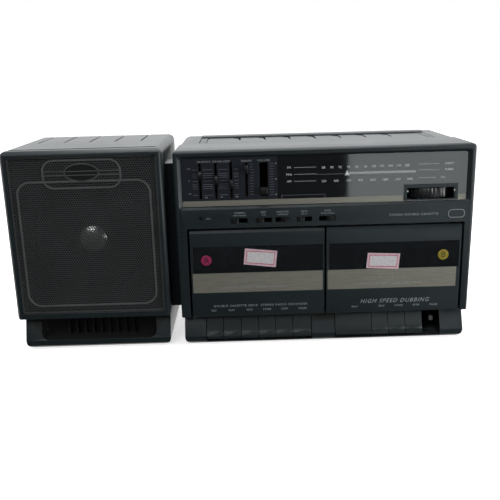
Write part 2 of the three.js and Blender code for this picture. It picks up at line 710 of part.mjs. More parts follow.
function buildCone() {
  return latheY(DRIVER.x, DRIVER.z, [
    [53.8, 12.2], [55.2, 12.9], [52.6, 14.8], [43, 19.6], [16, 32], [16, 46], [14.8, 46], [14.8, 31],
    [0.01, 31], [0.01, 20.8], [5, 21.3], [10, 22.9], [14.4, 25.4], [15.6, 27.6], [42, 17.8], [51, 13.4],
  ], 32);
}

function buildSpeakerBase() {
  const { z0 } = SPEAKER;
  const outline = roundRect(-164.4, -12, 0, z0 - GAP, [7, 7, 0, 0], 5);
  const side = [[8, 0], [5, 2.4], [4.6, 8], [12.5, z0 - GAP], [146, z0 - GAP], [146, 3], [143, 0]];
  const outer = extrudeXZ(outline, 0, 150).intersect(extrudeYZ(side, -170, 0));
  const port = extrudeXZ(roundRect(-147.6, -27.1, 8.5, 31, [7, 7, 0.5, 0.5], 5), -1, 30);
  const hollow = box(-160.4, -16, 33, 142, 2.4, z0 + 1);
  const slats = [];
  for (let i = 0; i < 9; i += 1) {
    const x = -122.6 + i * 8.72;
    slats.push(box(x - 0.7, x + 0.7, 22, 29, 6, 32));
  }
  return join([cut(outer, [port, hollow]), ...slats]);
}

// -------------------------------------------------------------------- assembly
const mainUnit = groupAt(0, 0, 0);
addNode(mainUnit, "front_cabinet", buildFrontCabinet(), "shell");
addNode(mainUnit, "rear_cabinet", buildRearCabinet(), "shell", [0, SEAM_Y, 0]);
addNode(mainUnit, "plinth", buildPlinth(), "shell");
addNode(mainUnit, "dial_window", buildDialWindow(), "glossPanel", [WINDOW.x0, WINDOW.y, WINDOW.z0]);
addNode(mainUnit, "dial_plate", buildDialPlate(), "darkPlastic", [WINDOW.x0, WINDOW.y, WINDOW.z0]);
addNode(mainUnit, "dial_pointer", buildPointer(), "white", [POINTER_X, WINDOW.y, WINDOW.z0]);
addNode(mainUnit, "tuning_wheel", buildWheel(), "knob", [WHEEL.x, WHEEL.y, WHEEL.z0]);
for (const slider of SLIDERS) {
  addNode(mainUnit, slider.name, buildSlider(slider), "knob", [slider.x, WINDOW.y, slider.knob[0]]);
}
for (const slot of SWITCH_SLOTS) {
  addNode(mainUnit, slot.name, buildSwitch(slot), "knob", [switchKnobStart(slot), 0, SWITCH_Z.z0]);
}
addNode(mainUnit, "microphone", buildMicrophone(), "steel", [MIC.x, 0, MIC.z]);
addNode(mainUnit, "carry_handle", buildHandle(), "shell", [HANDLE.x0, HANDLE.pivotY, HANDLE.pivotZ]);
addNode(mainUnit, "battery_cover", buildBatteryCover(), "shell", [BATTERY.x0, MAIN.depth, BATTERY.z0]);
addNode(mainUnit, "power_inlet", buildInlet(), "darkPlastic", [INLET.x0, MAIN.depth, INLET.z0]);
addNode(mainUnit, "jack_panel", buildJackPanel(), "darkPlastic", [JACKS.x0, MAIN.depth, JACKS.z0]);
addNode(mainUnit, "drive_motor", buildMotor(), "steel", [MOTOR.x, 0, MOTOR.z]);
addNode(mainUnit, "circuit_board", buildCircuitBoard(), "board");
addNode(mainUnit, "power_transformer", buildTransformer(), "copper");

const aerial = groupAt(AERIAL.x, AERIAL.y, AERIAL.z);
addNode(aerial, "aerial_mast", buildAerialMast(), "chrome");
addNode(aerial, "aerial_tip", buildAerialTip(), "chrome");
mainUnit.add(aerial);

for (const [tag, deck] of Object.entries(DECKS)) {
  const c = deckCentre(deck);
  const group = groupAt(c, 0, 0);
  const doorPivot = [c, DOOR.pivotY, DOOR.pivotZ];
  addNode(group, `door_${tag}`, buildDoor(deck), "shell", doorPivot);
  addNode(group, `door_window_${tag}`, buildDoorWindow(deck), "smokedWindow", doorPivot);
  addNode(group, `deck_chassis_${tag}`, buildChassis(deck), "steel");
  for (const [side, name] of [[-1, "supply"], [1, "takeup"]]) {
    const x = c + side * HUB.offset;
    addNode(group, `${name}_spindle_${tag}`, buildSpindle(x), "darkPlastic", [x, 0, HUB.z]);
  }
  addNode(group, `capstan_${tag}`, buildCapstan(deck), "steel", [c + CAPSTAN.offset, 0, CAPSTAN.z]);
  addNode(group, `head_bridge_${tag}`, buildHeadBridge(deck), "steel");
  deck.keys.forEach((name, i) => {
    const [x0, x1] = [deck.keyEdges[i], deck.keyEdges[i + 1]];
    const pivot = [(x0 + x1) / 2, KEY_PIVOT.y, KEY_PIVOT.z];
    addNode(group, `key_${name}_${tag}`, buildKey(x0, x1), "shell", pivot);
  });
  mainUnit.add(group);
}
addNode(mainUnit, "pause_lever_b", keyWithArm(null, LEVER_X, 2), "steel", [LEVER_X, KEY_PIVOT.y, KEY_PIVOT.z]);

const speaker = groupAt(DRIVER.x, 0, 0);
addNode(speaker, "speaker_cabinet", buildSpeakerCabinet(), "shell");
addNode(speaker, "speaker_frame", buildSpeakerFrame(), "shell");
addNode(speaker, "speaker_grille", buildGrille(), "grille");
addNode(speaker, "speaker_base", buildSpeakerBase(), "shell");
addNode(speaker, "speaker_driver", buildDriver(), "magnet", [DRIVER.x, 0, DRIVER.z]);
addNode(speaker, "speaker_cone", buildCone(), "cone", [DRIVER.x, 0, DRIVER.z]);

const player = new THREE.Group();
player.name = "cassette_player";
player.add(mainUnit, speaker);
const limits = new THREE.Box3().setFromObject(player, true);
player.position.set(
  -(limits.min.x + limits.max.x) / 2,
  -(limits.min.y + limits.max.y) / 2,
  -limits.min.z,
);

export default player;
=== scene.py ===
"""Looks of a twin-deck radio cassette player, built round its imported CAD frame.

Lengths in this file are millimetres from the main unit's datum: x from its left
wall, y from the front plane towards the back, z from the table. Datum.at()
turns them into the frame's metres.
"""

from __future__ import annotations

import json
import logging
import math
from dataclasses import dataclass
from enum import Enum
from typing import Sequence

import bmesh
import bpy
from mathutils import Matrix, Vector

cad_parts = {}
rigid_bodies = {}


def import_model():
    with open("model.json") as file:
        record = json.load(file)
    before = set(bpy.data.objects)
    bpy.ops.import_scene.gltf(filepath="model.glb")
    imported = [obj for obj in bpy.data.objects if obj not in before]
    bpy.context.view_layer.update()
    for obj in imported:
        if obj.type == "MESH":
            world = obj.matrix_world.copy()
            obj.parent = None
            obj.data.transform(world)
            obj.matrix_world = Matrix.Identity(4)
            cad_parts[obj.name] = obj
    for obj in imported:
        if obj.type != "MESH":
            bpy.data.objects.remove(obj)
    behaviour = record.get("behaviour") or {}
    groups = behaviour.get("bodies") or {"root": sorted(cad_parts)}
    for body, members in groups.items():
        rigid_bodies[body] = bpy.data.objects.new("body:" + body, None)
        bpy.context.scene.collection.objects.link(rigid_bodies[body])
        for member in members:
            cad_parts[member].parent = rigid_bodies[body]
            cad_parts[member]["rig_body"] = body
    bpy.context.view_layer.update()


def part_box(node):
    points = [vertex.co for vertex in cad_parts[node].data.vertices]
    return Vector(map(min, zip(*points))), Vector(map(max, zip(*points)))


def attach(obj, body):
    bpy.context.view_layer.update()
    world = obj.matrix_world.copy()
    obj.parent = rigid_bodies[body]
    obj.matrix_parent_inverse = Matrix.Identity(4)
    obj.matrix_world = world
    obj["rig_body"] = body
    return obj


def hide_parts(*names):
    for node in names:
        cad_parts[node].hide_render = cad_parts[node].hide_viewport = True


LOG = logging.getLogger("cassette_player")
MM = 0.001
PRINT = 0.06  # thickness of printed letters, in millimetres
LETTER_SIZE = 1.38  # font size that gives letters one unit high
EDGE_ANGLE = math.radians(20)  # edges sharper than this are broken
DUST = (0.42, 0.44, 0.43, 1.0)
Flat = tuple[float, float]
Edges = tuple[float, float, float, float]  # left, right, bottom, top
Point = tuple[float, float, float]
Rgb = tuple[float, float, float]
Part = tuple[str, "Look", float, str]  # node, finish, broken edge, material slot


# --------------------------------------------------------------------------- datum
@dataclass(frozen=True)
class Datum:
    """Where the main unit's left wall, front plane and the table are in the frame."""

    x: float
    y: float
    z: float

    @classmethod
    def from_frame(cls) -> "Datum":
        """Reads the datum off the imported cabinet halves.

        Returns:
            The datum, in metres of the row frame.
        """
        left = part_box("rear_cabinet")[0][0]
        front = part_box("front_cabinet")[0][1]
        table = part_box("plinth")[0][2]
        return cls(left, front, table)

    def at(self, x: float, y: float, z: float) -> Vector:
        """Frame position of a point given in millimetres from the datum."""
        return Vector((self.x + x * MM, self.y + y * MM, self.z + z * MM))

    def matrix(self) -> Matrix:
        """Transform from datum millimetres to frame metres."""
        return Matrix.Translation((self.x, self.y, self.z)) @ Matrix.Scale(MM, 4)


# ------------------------------------------------------------------- node utilities
class Wiring:
    """Adds and joins the nodes of one node tree."""

    def __init__(self, tree: bpy.types.NodeTree) -> None:
        """Keeps the tree and empties it."""
        self.tree = tree
        tree.nodes.clear()

    def add(self, kind: str, **values: object) -> bpy.types.Node:
        """Adds a node and sets its attributes or input defaults.

        Args:
            kind: Blender's node type name.
            values: attribute names, or input names with underscores for spaces.

        Returns:
            The new node.
        """
        node = self.tree.nodes.new(kind)
        for key, value in values.items():
            if hasattr(node, key):
                setattr(node, key, value)
            else:
                node.inputs[key.replace("_", " ")].default_value = value
        return node

    def link(self, source: bpy.types.Node, out: str | int, target: bpy.types.Node, into: str | int) -> None:
        """Joins an output socket to an input socket, by name or number."""
        self.tree.links.new(source.outputs[out], target.inputs[into])


class Graph(Wiring):
    """Shader of one material round a Principled surface."""

    def __init__(self, material: bpy.types.Material) -> None:
        """Starts the material's shader again from a bare surface.

        Args:
            material: the material whose node tree is rebuilt.
        """
        material.use_nodes = True
        super().__init__(material.node_tree)
        self.surface = self.add("ShaderNodeBsdfPrincipled")
        self.link(self.surface, "BSDF", self.add("ShaderNodeOutputMaterial"), "Surface")
        self.coords = self.add("ShaderNodeTexCoord")

    def noise(self, scale: float, detail: float = 3.0) -> bpy.types.Node:
        """Noise texture on Object coordinates.

        Args:
            scale: cycles per metre.
            detail: number of octaves.

        Returns:
            The noise node.
        """
        node = self.add("ShaderNodeTexNoise", Scale=scale, Detail=detail)
        self.link(self.coords, "Object", node, "Vector")
        return node

    def tone(self, pattern: bpy.types.Node, colour: Rgb, low: Flat, high: Flat) -> bpy.types.Node:
        """Colour ramp over a pattern.

        Args:
            pattern: noise that drives the ramp.
            colour: the finish's middle colour.
            low: pattern value of the lower stop, and its share of the colour.
            high: the same of the upper stop.

        Returns:
            The ramp node.
        """
        node = self.add("ShaderNodeValToRGB")
        for index, (position, share) in enumerate((low, high)):
            stop = node.color_ramp.elements[index]
            stop.position = position
            stop.color = (*scaled(colour, share), 1.0)
        self.link(pattern, "Fac", node, "Fac")
        return node

    def colour(self, pattern: bpy.types.Node, colour: Rgb, low: Flat, high: Flat) -> None:
        """Gives the surface the ramp that tone makes from the same arguments."""
        self.link(self.tone(pattern, colour, low, high), "Color", self.surface, "Base Color")

    def shine(self, pattern: bpy.types.Node, low: float, high: float) -> None:
        """Gives the surface a roughness from low to high over a pattern.

        Args:
            pattern: noise that drives the roughness.
            low: roughness where the noise is 0.
            high: roughness where the noise is 1.
        """
        rough = self.add("ShaderNodeMapRange", To_Min=low, To_Max=high)
        self.link(pattern, "Fac", rough, "Value")
        self.link(rough, "Result", self.surface, "Roughness")

    def bump(self, pattern: bpy.types.Node, strength: float, distance: float) -> None:
        """Wires a bump from a pattern into the surface normal.

        Args:
            pattern: noise that gives the height.
            strength: bump strength, 0 to 1.
            distance: height in metres of a full step.
        """
        node = self.add("ShaderNodeBump", Strength=strength, Distance=distance)
        self.link(pattern, "Fac", node, "Height")
        self.link(node, "Normal", self.surface, "Normal")

    def set(self, **values: object) -> None:
        """Sets inputs of the Principled surface; underscores stand for spaces."""
        for key, value in values.items():
            self.surface.inputs[key.replace("_", " ")].default_value = value


def scaled(colour: Rgb, factor: float) -> Rgb:
    """The colour with each channel multiplied by factor, kept under 1."""
    return tuple(min(1.0, channel * factor) for channel in colour)


# ------------------------------------------------------------------------- finishes
@dataclass(frozen=True)
class Finish:
    """Base of every finish: a name and a material made once."""

    name: str

    def material(self) -> bpy.types.Material:
        """The finish's material, built on first use."""
        found = bpy.data.materials.get(self.name)
        if found:
            return found
        made = bpy.data.materials.new(self.name)
        self.paint(Graph(made))
        return made

    def paint(self, graph: Graph) -> None:
        """Builds the shader; each finish has its own.

        Args:
            graph: the graph to fill in.
        """
        raise NotImplementedError


@dataclass(frozen=True)
class MouldedPlastic(Finish):
    """Injection-moulded plastic: fine spark grain, handling shine and settled dust."""

    colour: Rgb = (0.02, 0.023, 0.025)
    roughness: float = 0.45
    grain: float = 0.25
    dust: float = 0.3

    def paint(self, graph: Graph) -> None:
        """Builds grain bump, patchy shine and dust on upward faces.

        Args:
            graph: the graph to fill in.
        """
        tone = graph.tone(graph.noise(34.0, 4.0), self.colour, (0.3, 0.86), (0.75, 1.14))
        facing = graph.add("ShaderNodeNewGeometry")
        split = graph.add("ShaderNodeSeparateXYZ")
        graph.link(facing, "Normal", split, "Vector")
        upward = graph.add("ShaderNodeMapRange", From_Min=0.75, To_Max=self.dust)
        graph.link(split, "Z", upward, "Value")
        cover = graph.add("ShaderNodeMath", operation="MULTIPLY")
        graph.link(upward, "Result", cover, 0)
        graph.link(graph.noise(420.0, 6.0), "Fac", cover, 1)
        dusted = graph.add("ShaderNodeMix", data_type="RGBA")
        share, clean, dusty, mixed = 0, 6, 7, 2
        dusted.inputs[dusty].default_value = DUST
        graph.link(cover, 0, dusted, share)
        graph.link(tone, "Color", dusted, clean)
        graph.link(dusted, mixed, graph.surface, "Base Color")
        graph.shine(graph.noise(11.0, 2.0), self.roughness - 0.07, self.roughness + 0.09)
        graph.bump(graph.noise(1900.0, 2.0), self.grain, 0.00012)
        graph.set(Specular_IOR_Level=0.5)


@dataclass(frozen=True)
class SmokedAcrylic(Finish):
    """Clear tinted acrylic with a polished face and faint wipe marks."""

    tint: Rgb = (0.045, 0.055, 0.065)
    transmission: float = 0.9
    wiped: Flat = (0.03, 0.11)

    def paint(self, graph: Graph) -> None:
        """Builds tinted glass whose roughness has wipe marks.

        Args:
            graph: the graph to fill in.
        """
        graph.set(Base_Color=(*self.tint, 1.0), Transmission_Weight=self.transmission, IOR=1.49)
        graph.shine(graph.noise(26.0, 5.0), *self.wiped)


@dataclass(frozen=True)
class GlossPanel(Finish):
    """Back-painted panel: deep black under a polished skin."""

    colour: Rgb = (0.004, 0.006, 0.009)

    def paint(self, graph: Graph) -> None:
        """Builds a black gloss with slight unevenness and wipe marks.

        Args:
            graph: the graph to fill in.
        """
        graph.colour(graph.noise(20.0, 3.0), self.colour, (0.3, 1.0), (0.8, 1.6))
        graph.shine(graph.noise(60.0, 5.0), 0.05, 0.14)
        graph.set(Specular_IOR_Level=0.55)


@dataclass(frozen=True)
class PrintedInk(Finish):
    """Screen-printed ink, slightly worn."""

    colour: Rgb = (0.6, 0.63, 0.63)
    roughness: float = 0.5

    def paint(self, graph: Graph) -> None:
        """Builds ink with small worn patches.

        Args:
            graph: the graph to fill in.
        """
        graph.colour(graph.noise(900.0, 4.0), self.colour, (0.25, 0.6), (0.55, 1.0))
        graph.set(Roughness=self.roughness)


@dataclass(frozen=True)
class MetallisedFoil(Finish):
    """Warm grey foil stripe, finely brushed along its length."""

    colour: Rgb = (0.3, 0.295, 0.25)

    def paint(self, graph: Graph) -> None:
        """Builds a satin foil with horizontal brushing.

        Args:
            graph: the graph to fill in.
        """
        stretch = graph.add("ShaderNodeMapping", Scale=(0.04, 1.0, 1.0))
        graph.link(graph.coords, "Object", stretch, "Vector")
        brush = graph.add("ShaderNodeTexNoise", Scale=1500.0, Detail=3.0)
        graph.link(stretch, "Vector", brush, "Vector")
        graph.colour(brush, self.colour, (0.3, 0.88), (0.7, 1.15))
        graph.shine(brush, 0.34, 0.46)
        graph.set(Metallic=0.35)


@dataclass(frozen=True)
class BareMetal(Finish):
    """Plain or plated metal with fine scratches."""

    colour: Rgb = (0.42, 0.42, 0.43)
    roughness: float = 0.3
    scratch: float = 0.2

    def paint(self, graph: Graph) -> None:
        """Builds metal with uneven shine and scratch bump.

        Args:
            graph: the graph to fill in.
        """
        cloud = graph.noise(90.0, 4.0)
        graph.colour(cloud, self.colour, (0.3, 0.85), (0.7, 1.1))
        graph.shine(cloud, self.roughness * 0.75, self.roughness * 1.35)
        graph.bump(graph.noise(2600.0, 2.0), self.scratch, 0.00005)
        graph.set(Metallic=1.0)


@dataclass(frozen=True)
class FibrousSheet(Finish):
    """Paper, cone card or resin board: matte with visible fibres."""

    colour: Rgb = (0.02, 0.02, 0.02)
    fibre: float = 0.5
    roughness: float = 0.85

    def paint(self, graph: Graph) -> None:
        """Builds a fibrous matte surface.

        Args:
            graph: the graph to fill in.
        """
        fibre = graph.noise(800.0, 7.0)
        graph.colour(fibre, self.colour, (0.3, 0.82), (0.7, 1.12))
        graph.bump(fibre, self.fibre, 0.0001)
        graph.set(Roughness=self.roughness)


class Look(Enum):
    """Every finish of the player."""

    SHELL = MouldedPlastic("charcoal_shell", (0.0125, 0.0215, 0.0255), 0.42, 0.3, 0.16)
    KEYCAP = MouldedPlastic("keycap_plastic", (0.014, 0.022, 0.0245), 0.38, 0.22, 0.1)
    # Black plastic; the same black is also painted shade, laid on the key well and on the speaker's frame
    # and port.
    BLACK = MouldedPlastic("black_plastic", (0.006, 0.0065, 0.007), 0.4, 0.15, 0.08)
    KNOB = MouldedPlastic("knob_plastic", (0.01, 0.011, 0.012), 0.3, 0.1, 0.05)
    WHITE = MouldedPlastic("white_plastic", (0.72, 0.74, 0.72), 0.4, 0.05, 0.0)
    PANEL = GlossPanel("gloss_panel")
    WINDOW = SmokedAcrylic("smoked_acrylic")
    DIAL_GLASS = SmokedAcrylic("dial_acrylic", (0.05, 0.058, 0.07), 0.9, (0.03, 0.09))
    BRIGHT_INK = PrintedInk("bright_ink", (0.85, 0.9, 0.9), 0.5)
    INK = PrintedInk("pale_ink", (0.42, 0.46, 0.47), 0.55)
    DIM_INK = PrintedInk("dim_ink", (0.2, 0.2, 0.24), 0.55)
    CHANNEL = PrintedInk("channel_bar", (0.5, 0.53, 0.53), 0.5)
    BLACK_INK = PrintedInk("black_ink", (0.012, 0.01, 0.012), 0.5)
    RED_INK = PrintedInk("red_ink", (0.55, 0.06, 0.13), 0.6)
    PINK = PrintedInk("pink_badge", (0.42, 0.035, 0.13), 0.32)
    YELLOW = PrintedInk("yellow_badge", (0.4, 0.31, 0.03), 0.32)
    FOIL = MetallisedFoil("warm_foil")
    PAPER = FibrousSheet("tag_paper", (0.78, 0.76, 0.78), 0.25, 0.8)
    PINK_PAPER = FibrousSheet("tag_margin", (0.84, 0.6, 0.68), 0.25, 0.8)
    STEEL = BareMetal("sheet_steel", (0.36, 0.36, 0.37), 0.34, 0.25)
    CHROME = BareMetal("bright_plating", (0.62, 0.63, 0.64), 0.1, 0.05)
    SILVER = BareMetal("dust_cap_foil", (0.75, 0.76, 0.76), 0.24, 0.3)
    GRILLE = MouldedPlastic("grille_enamel", (0.075, 0.08, 0.082), 0.34, 0.1, 0.05)
    # Same enamel as the grille, painted lighter on the raised relief as a highlight.
    RAISED = MouldedPlastic("raised_enamel", (0.115, 0.12, 0.122), 0.34, 0.1, 0.05)
    CONE = FibrousSheet("cone_paper", (0.014, 0.014, 0.015), 0.6, 0.85)
    MAGNET = BareMetal("ferrite", (0.06, 0.06, 0.062), 0.5, 0.4)
    BOARD = FibrousSheet("resin_board", (0.16, 0.075, 0.022), 0.3, 0.6)
    COPPER = BareMetal("varnished_winding", (0.3, 0.12, 0.05), 0.35, 0.3)

    def material(self) -> bpy.types.Material:
        """The Blender material of this finish."""
        return self.value.material()


# ---------------------------------------------------------------------- mesh pieces
def placed(name: str, data: bpy.types.ID) -> bpy.types.Object:
    """Puts a new object with the given data into the scene, at the origin.

    Args:
        name: the object's name.
        data: its mesh, curve, camera or light.

    Returns:
        The new object.
    """
    obj = bpy.data.objects.new(name, data)
    bpy.context.scene.collection.objects.link(obj)
    return obj


def mesh_data(name: str, mesh: bmesh.types.BMesh, looks: Sequence[Look] = ()) -> bpy.types.Mesh:
    """Turns a bmesh into mesh data.

    Args:
        name: the mesh's name.
        mesh: the geometry; it is freed.
        looks: finishes in the order of the material slots.

    Returns:
        The mesh data.
    """
    data = bpy.data.meshes.new(name)
    mesh.to_mesh(data)
    mesh.free()
    for look in looks:
        data.materials.append(look.material())
    return data


def evaluated(obj: bpy.types.Object) -> bpy.types.Mesh:
    """A plain mesh of an object as its modifiers or its curve give it."""
    graph = bpy.context.evaluated_depsgraph_get()
    return bpy.data.meshes.new_from_object(obj.evaluated_get(graph))


def body_holding(node: str) -> str:
    """Name of the CAD body that a node belongs to."""
    return bpy.data.objects[node]["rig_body"]


@dataclass(frozen=True)
class Zone:
    """Block of space, in datum millimetres, inside which a node has another finish or painted shade."""

    look: Look
    low: Point
    high: Point
    cut_x: float | None = None

    def mark(self, mesh: bmesh.types.BMesh, datum: Datum) -> None:
        """Gives the faces whose middle is in the block the second material slot.

        Args:
            mesh: the node's mesh, in the frame.
            datum: the datum of the block's corners.
        """
        if self.cut_x is not None:
            everything = mesh.verts[:] + mesh.edges[:] + mesh.faces[:]
            at = datum.at(self.cut_x, 0, 0)
            bmesh.ops.bisect_plane(mesh, geom=everything, plane_co=at, plane_no=(1, 0, 0))
        low, high = datum.at(*self.low), datum.at(*self.high)
        for face in mesh.faces:
            middle = face.calc_center_median()
            if all(a < m < b for a, m, b in zip(low, middle, high)):
                face.material_index = 1


class Workshop:
    """Makes mesh pieces in datum millimetres and hands them to the frame."""

    weld = 2e-6  # metres within which a node's corners are one

    def __init__(self, datum: Datum) -> None:
        """Keeps the datum that all pieces are placed by.

        Args:
            datum: the main unit's datum.
        """
        self.datum = datum
        self.count = 0

    def finish_piece(
        self, obj: bpy.types.Object, body: str, slot: str, replaces: Sequence[str] = ()
    ) -> None:
        """Declares a finished piece to the frame and logs it.

        Args:
            obj: the piece, at the origin and unscaled.
            body: the CAD body it rides on.
            slot: the record's material slot; not used.
            replaces: CAD nodes that it stands for.
        """
        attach(obj, body)
        if replaces:
            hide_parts(*replaces)
        self.count += 1
        LOG.info("%s: %d faces on %s", obj.name, len(obj.data.polygons), body)

    def from_bmesh(self, name: str, mesh: bmesh.types.BMesh, looks: Sequence[Look]) -> bpy.types.Object:
        """Turns a bmesh in datum millimetres into an object in the frame.

        Args:
            name: the object's name.
            mesh: the geometry; it is freed.
            looks: finishes in the order of the material slots.

        Returns:
            The new object.
        """
        mesh.transform(self.datum.matrix())
        return placed(name, mesh_data(name, mesh, looks))

    def baked(self, obj: bpy.types.Object) -> None:
        """Replaces an object's mesh by its evaluated one and drops its modifiers.

        Args:
            obj: the object whose modifiers are applied.
        """
        data = evaluated(obj)
        obj.modifiers.clear()
        obj.data = data

    def refined(self, node: str, look: Look, bevel: float, zone: Zone | None) -> bpy.types.Object:
        """A copy of a CAD node with its edges broken by a small round.

        Args:
            node: the CAD node.
            look: its finish.
            bevel: width of the broken edge, in millimetres; 0 leaves it sharp.
            zone: part of the node that has another finish or painted shade.

        Returns:
            The refined copy, not yet declared to the frame.
        """
        mesh = bmesh.new()
        mesh.from_mesh(bpy.data.objects[node].data)
        bmesh.ops.remove_doubles(mesh, verts=mesh.verts, dist=self.weld)
        looks = [look]
        if zone:
            zone.mark(mesh, self.datum)
            looks.append(zone.look)
        obj = placed(f"{node}_look", mesh_data(f"{node}_look", mesh, looks))
        if bevel > 0:
            obj.data.shade_smooth()
            rounder = obj.modifiers.new("edge", "BEVEL")
            rounder.width = bevel * MM
            rounder.segments = 2
            rounder.limit_method = "ANGLE"
            rounder.angle_limit = EDGE_ANGLE
            rounder.use_clamp_overlap = True
            rounder.harden_normals = True
            self.baked(obj)
            obj.data.set_sharp_from_angle(angle=EDGE_ANGLE)
        return obj

    def dress(self, plan: Sequence[Part], zones: dict[str, Zone] | None = None) -> None:
        """Args:
            plan: node, finish, broken edge and material slot of each.
            zones: blocks with a second finish or painted shade, by node.
        """
        for node, look, edge, slot in plan:
            piece = self.refined(node, look, edge, (zones or {}).get(node))
            self.finish_piece(piece, body_holding(node), slot, (node,))


class Sketch:
    """Collects simple solids, flat prints and letters of one piece."""

    def __init__(self) -> None:
        """Starts with an empty bmesh."""
        self.mesh = bmesh.new()

    def _mark(self, faces: Sequence[bmesh.types.BMFace], slot: int) -> None:
        """Gives faces a material slot."""
        for face in faces:
            face.material_index = slot

    def box(self, low: Point, high: Point, slot: int = 0) -> None:
        """Adds an upright box between two corners.

        Args:
            low: lowest corner.
            high: highest corner.
            slot: material slot.
        """
        size = [b - a for a, b in zip(low, high)]
        centre = [(a + b) / 2 for a, b in zip(low, high)]
        place = Matrix.Translation(centre) @ Matrix.Diagonal((*size, 1.0))
        made = bmesh.ops.create_cube(self.mesh, size=1.0, matrix=place)
        self._mark(list({f for v in made["verts"] for f in v.link_faces}), slot)

    def slab(self, outline: Sequence[Flat], y0: float, y1: float, slot: int = 0) -> None:
        """Adds an outline in x and z with thickness from y0 (front) to y1.

        Args:
            outline: points anticlockwise seen from the front.
            y0: front plane.
            y1: back plane.
            slot: material slot.
        """
        front = [self.mesh.verts.new((x, y0, z)) for x, z in outline]
        back = [self.mesh.verts.new((x, y1, z)) for x, z in outline]
        faces = [self.mesh.faces.new(front), self.mesh.faces.new(back[::-1])]
        count = len(outline)
        for i in range(count):
            j = (i + 1) % count
            faces.append(self.mesh.faces.new((front[j], front[i], back[i], back[j])))
        self._mark(faces, slot)

    def ring(
        self, outer: Sequence[Flat], inner: Sequence[Flat], y0: float, y1: float, slot: int = 0
    ) -> None:
        """Adds a frame between two outlines with the same number of points.

        Args:
            outer: outer outline, anticlockwise seen from the front.
            inner: inner outline.
            y0: front plane.
            y1: back plane.
            slot: material slot.
        """
        rows = [
            [self.mesh.verts.new((x, y, z)) for x, z in outline]
            for outline, y in ((outer, y0), (inner, y0), (inner, y1), (outer, y1))
        ]
        faces = []
        count = len(outer)
        for i in range(count):
            j = (i + 1) % count
            for k in range(4):
                near, far = rows[k], rows[(k + 1) % 4]
                faces.append(self.mesh.faces.new((near[i], near[j], far[j], far[i])))
        self._mark(faces, slot)

    def lathe(self, centre: Flat, profile: Sequence[Flat], slot: int = 0, steps: int = 64) -> None:
        """Adds a solid of revolution about the y axis.

        Args:
            centre: x and z of the axis.
            profile: closed list of (radius, y); points on the axis have radius 0.
            slot: material slot.
            steps: number of segments.
        """
        x, z = centre
        turn = [2 * math.pi * i / steps for i in range(steps)]
        rings = []
        for radius, y in profile:
            if radius <= 0:
                rings.append([self.mesh.verts.new((x, y, z))] * steps)
                continue
            corners = [(x + radius * math.cos(a), y, z + radius * math.sin(a)) for a in turn]
            rings.append([self.mesh.verts.new(corner) for corner in corners])
        faces = []
        for k, near in enumerate(rings):
            far = rings[(k + 1) % len(rings)]
            for i in range(steps):
                j = (i + 1) % steps
                corners = list(dict.fromkeys((near[i], near[j], far[j], far[i])))
                if len(corners) > 2:
                    faces.append(self.mesh.faces.new(corners))
        self._mark(faces, slot)

    def text(
        self, words: str, x: float, z: float, height: float, y: float, slot: int = 0,
        slant: float = 0.0, spacing: float = 1.0,
    ) -> None:
        """Adds flat letters centred on x and z, facing the front.

        Args:
            words: what is printed.
            x: centre, across.
            z: centre, up.
            height: letter height.
            y: front plane of the letters.
            slot: material slot.
            slant: shear of italic letters.
            spacing: letter spacing against the font's own.
        """
        curve = bpy.data.curves.new("letters", "FONT")
        curve.body = words
        curve.size = height * LETTER_SIZE
        curve.align_x = "CENTER"
        curve.align_y = "CENTER"
        curve.shear = slant
        curve.space_character = spacing
        curve.resolution_u = 2
        curve.extrude = PRINT / 2
        holder = placed("letters", curve)
        flat = evaluated(holder)
        place = Matrix.Translation((x, y + PRINT / 2, z)) @ Matrix.Rotation(math.pi / 2, 4, "X")
        flat.transform(place)
        known = set(self.mesh.faces)
        self.mesh.from_mesh(flat)
        self._mark([f for f in self.mesh.faces if f not in known], slot)
        bpy.data.objects.remove(holder)
        bpy.data.curves.remove(curve)
        bpy.data.meshes.remove(flat)

    def tidy(self) -> bmesh.types.BMesh:
        """Merges doubles, points all faces outwards and returns the mesh."""
        bmesh.ops.remove_doubles(self.mesh, verts=self.mesh.verts, dist=1e-4)
        bmesh.ops.recalc_face_normals(self.mesh, faces=self.mesh.faces)
        return self.mesh


def round_rect(edges: Edges, radius: float, steps: int, grow: float = 0.0) -> list[Flat]:
    """Rounded rectangle outline, anticlockwise seen from the front.

    Args:
        edges: left, right, bottom and top.
        radius: corner radius.
        steps: segments in each corner.
        grow: distance by which the outline is moved outwards.

    Returns:
        The outline's points.
    """
    x0, x1, z0, z1 = edges
    radius += grow
    x0, x1, z0, z1 = x0 - grow + radius, x1 + grow - radius, z0 - grow + radius, z1 + grow - radius
    points = []
    for x, z, start in ((x0, z0, 180), (x1, z0, 270), (x1, z1, 0), (x0, z1, 90)):
        for i in range(steps + 1):
            angle = math.radians(start + 90 * i / steps)
            points.append((x + radius * math.cos(angle), z + radius * math.sin(angle)))
    return points


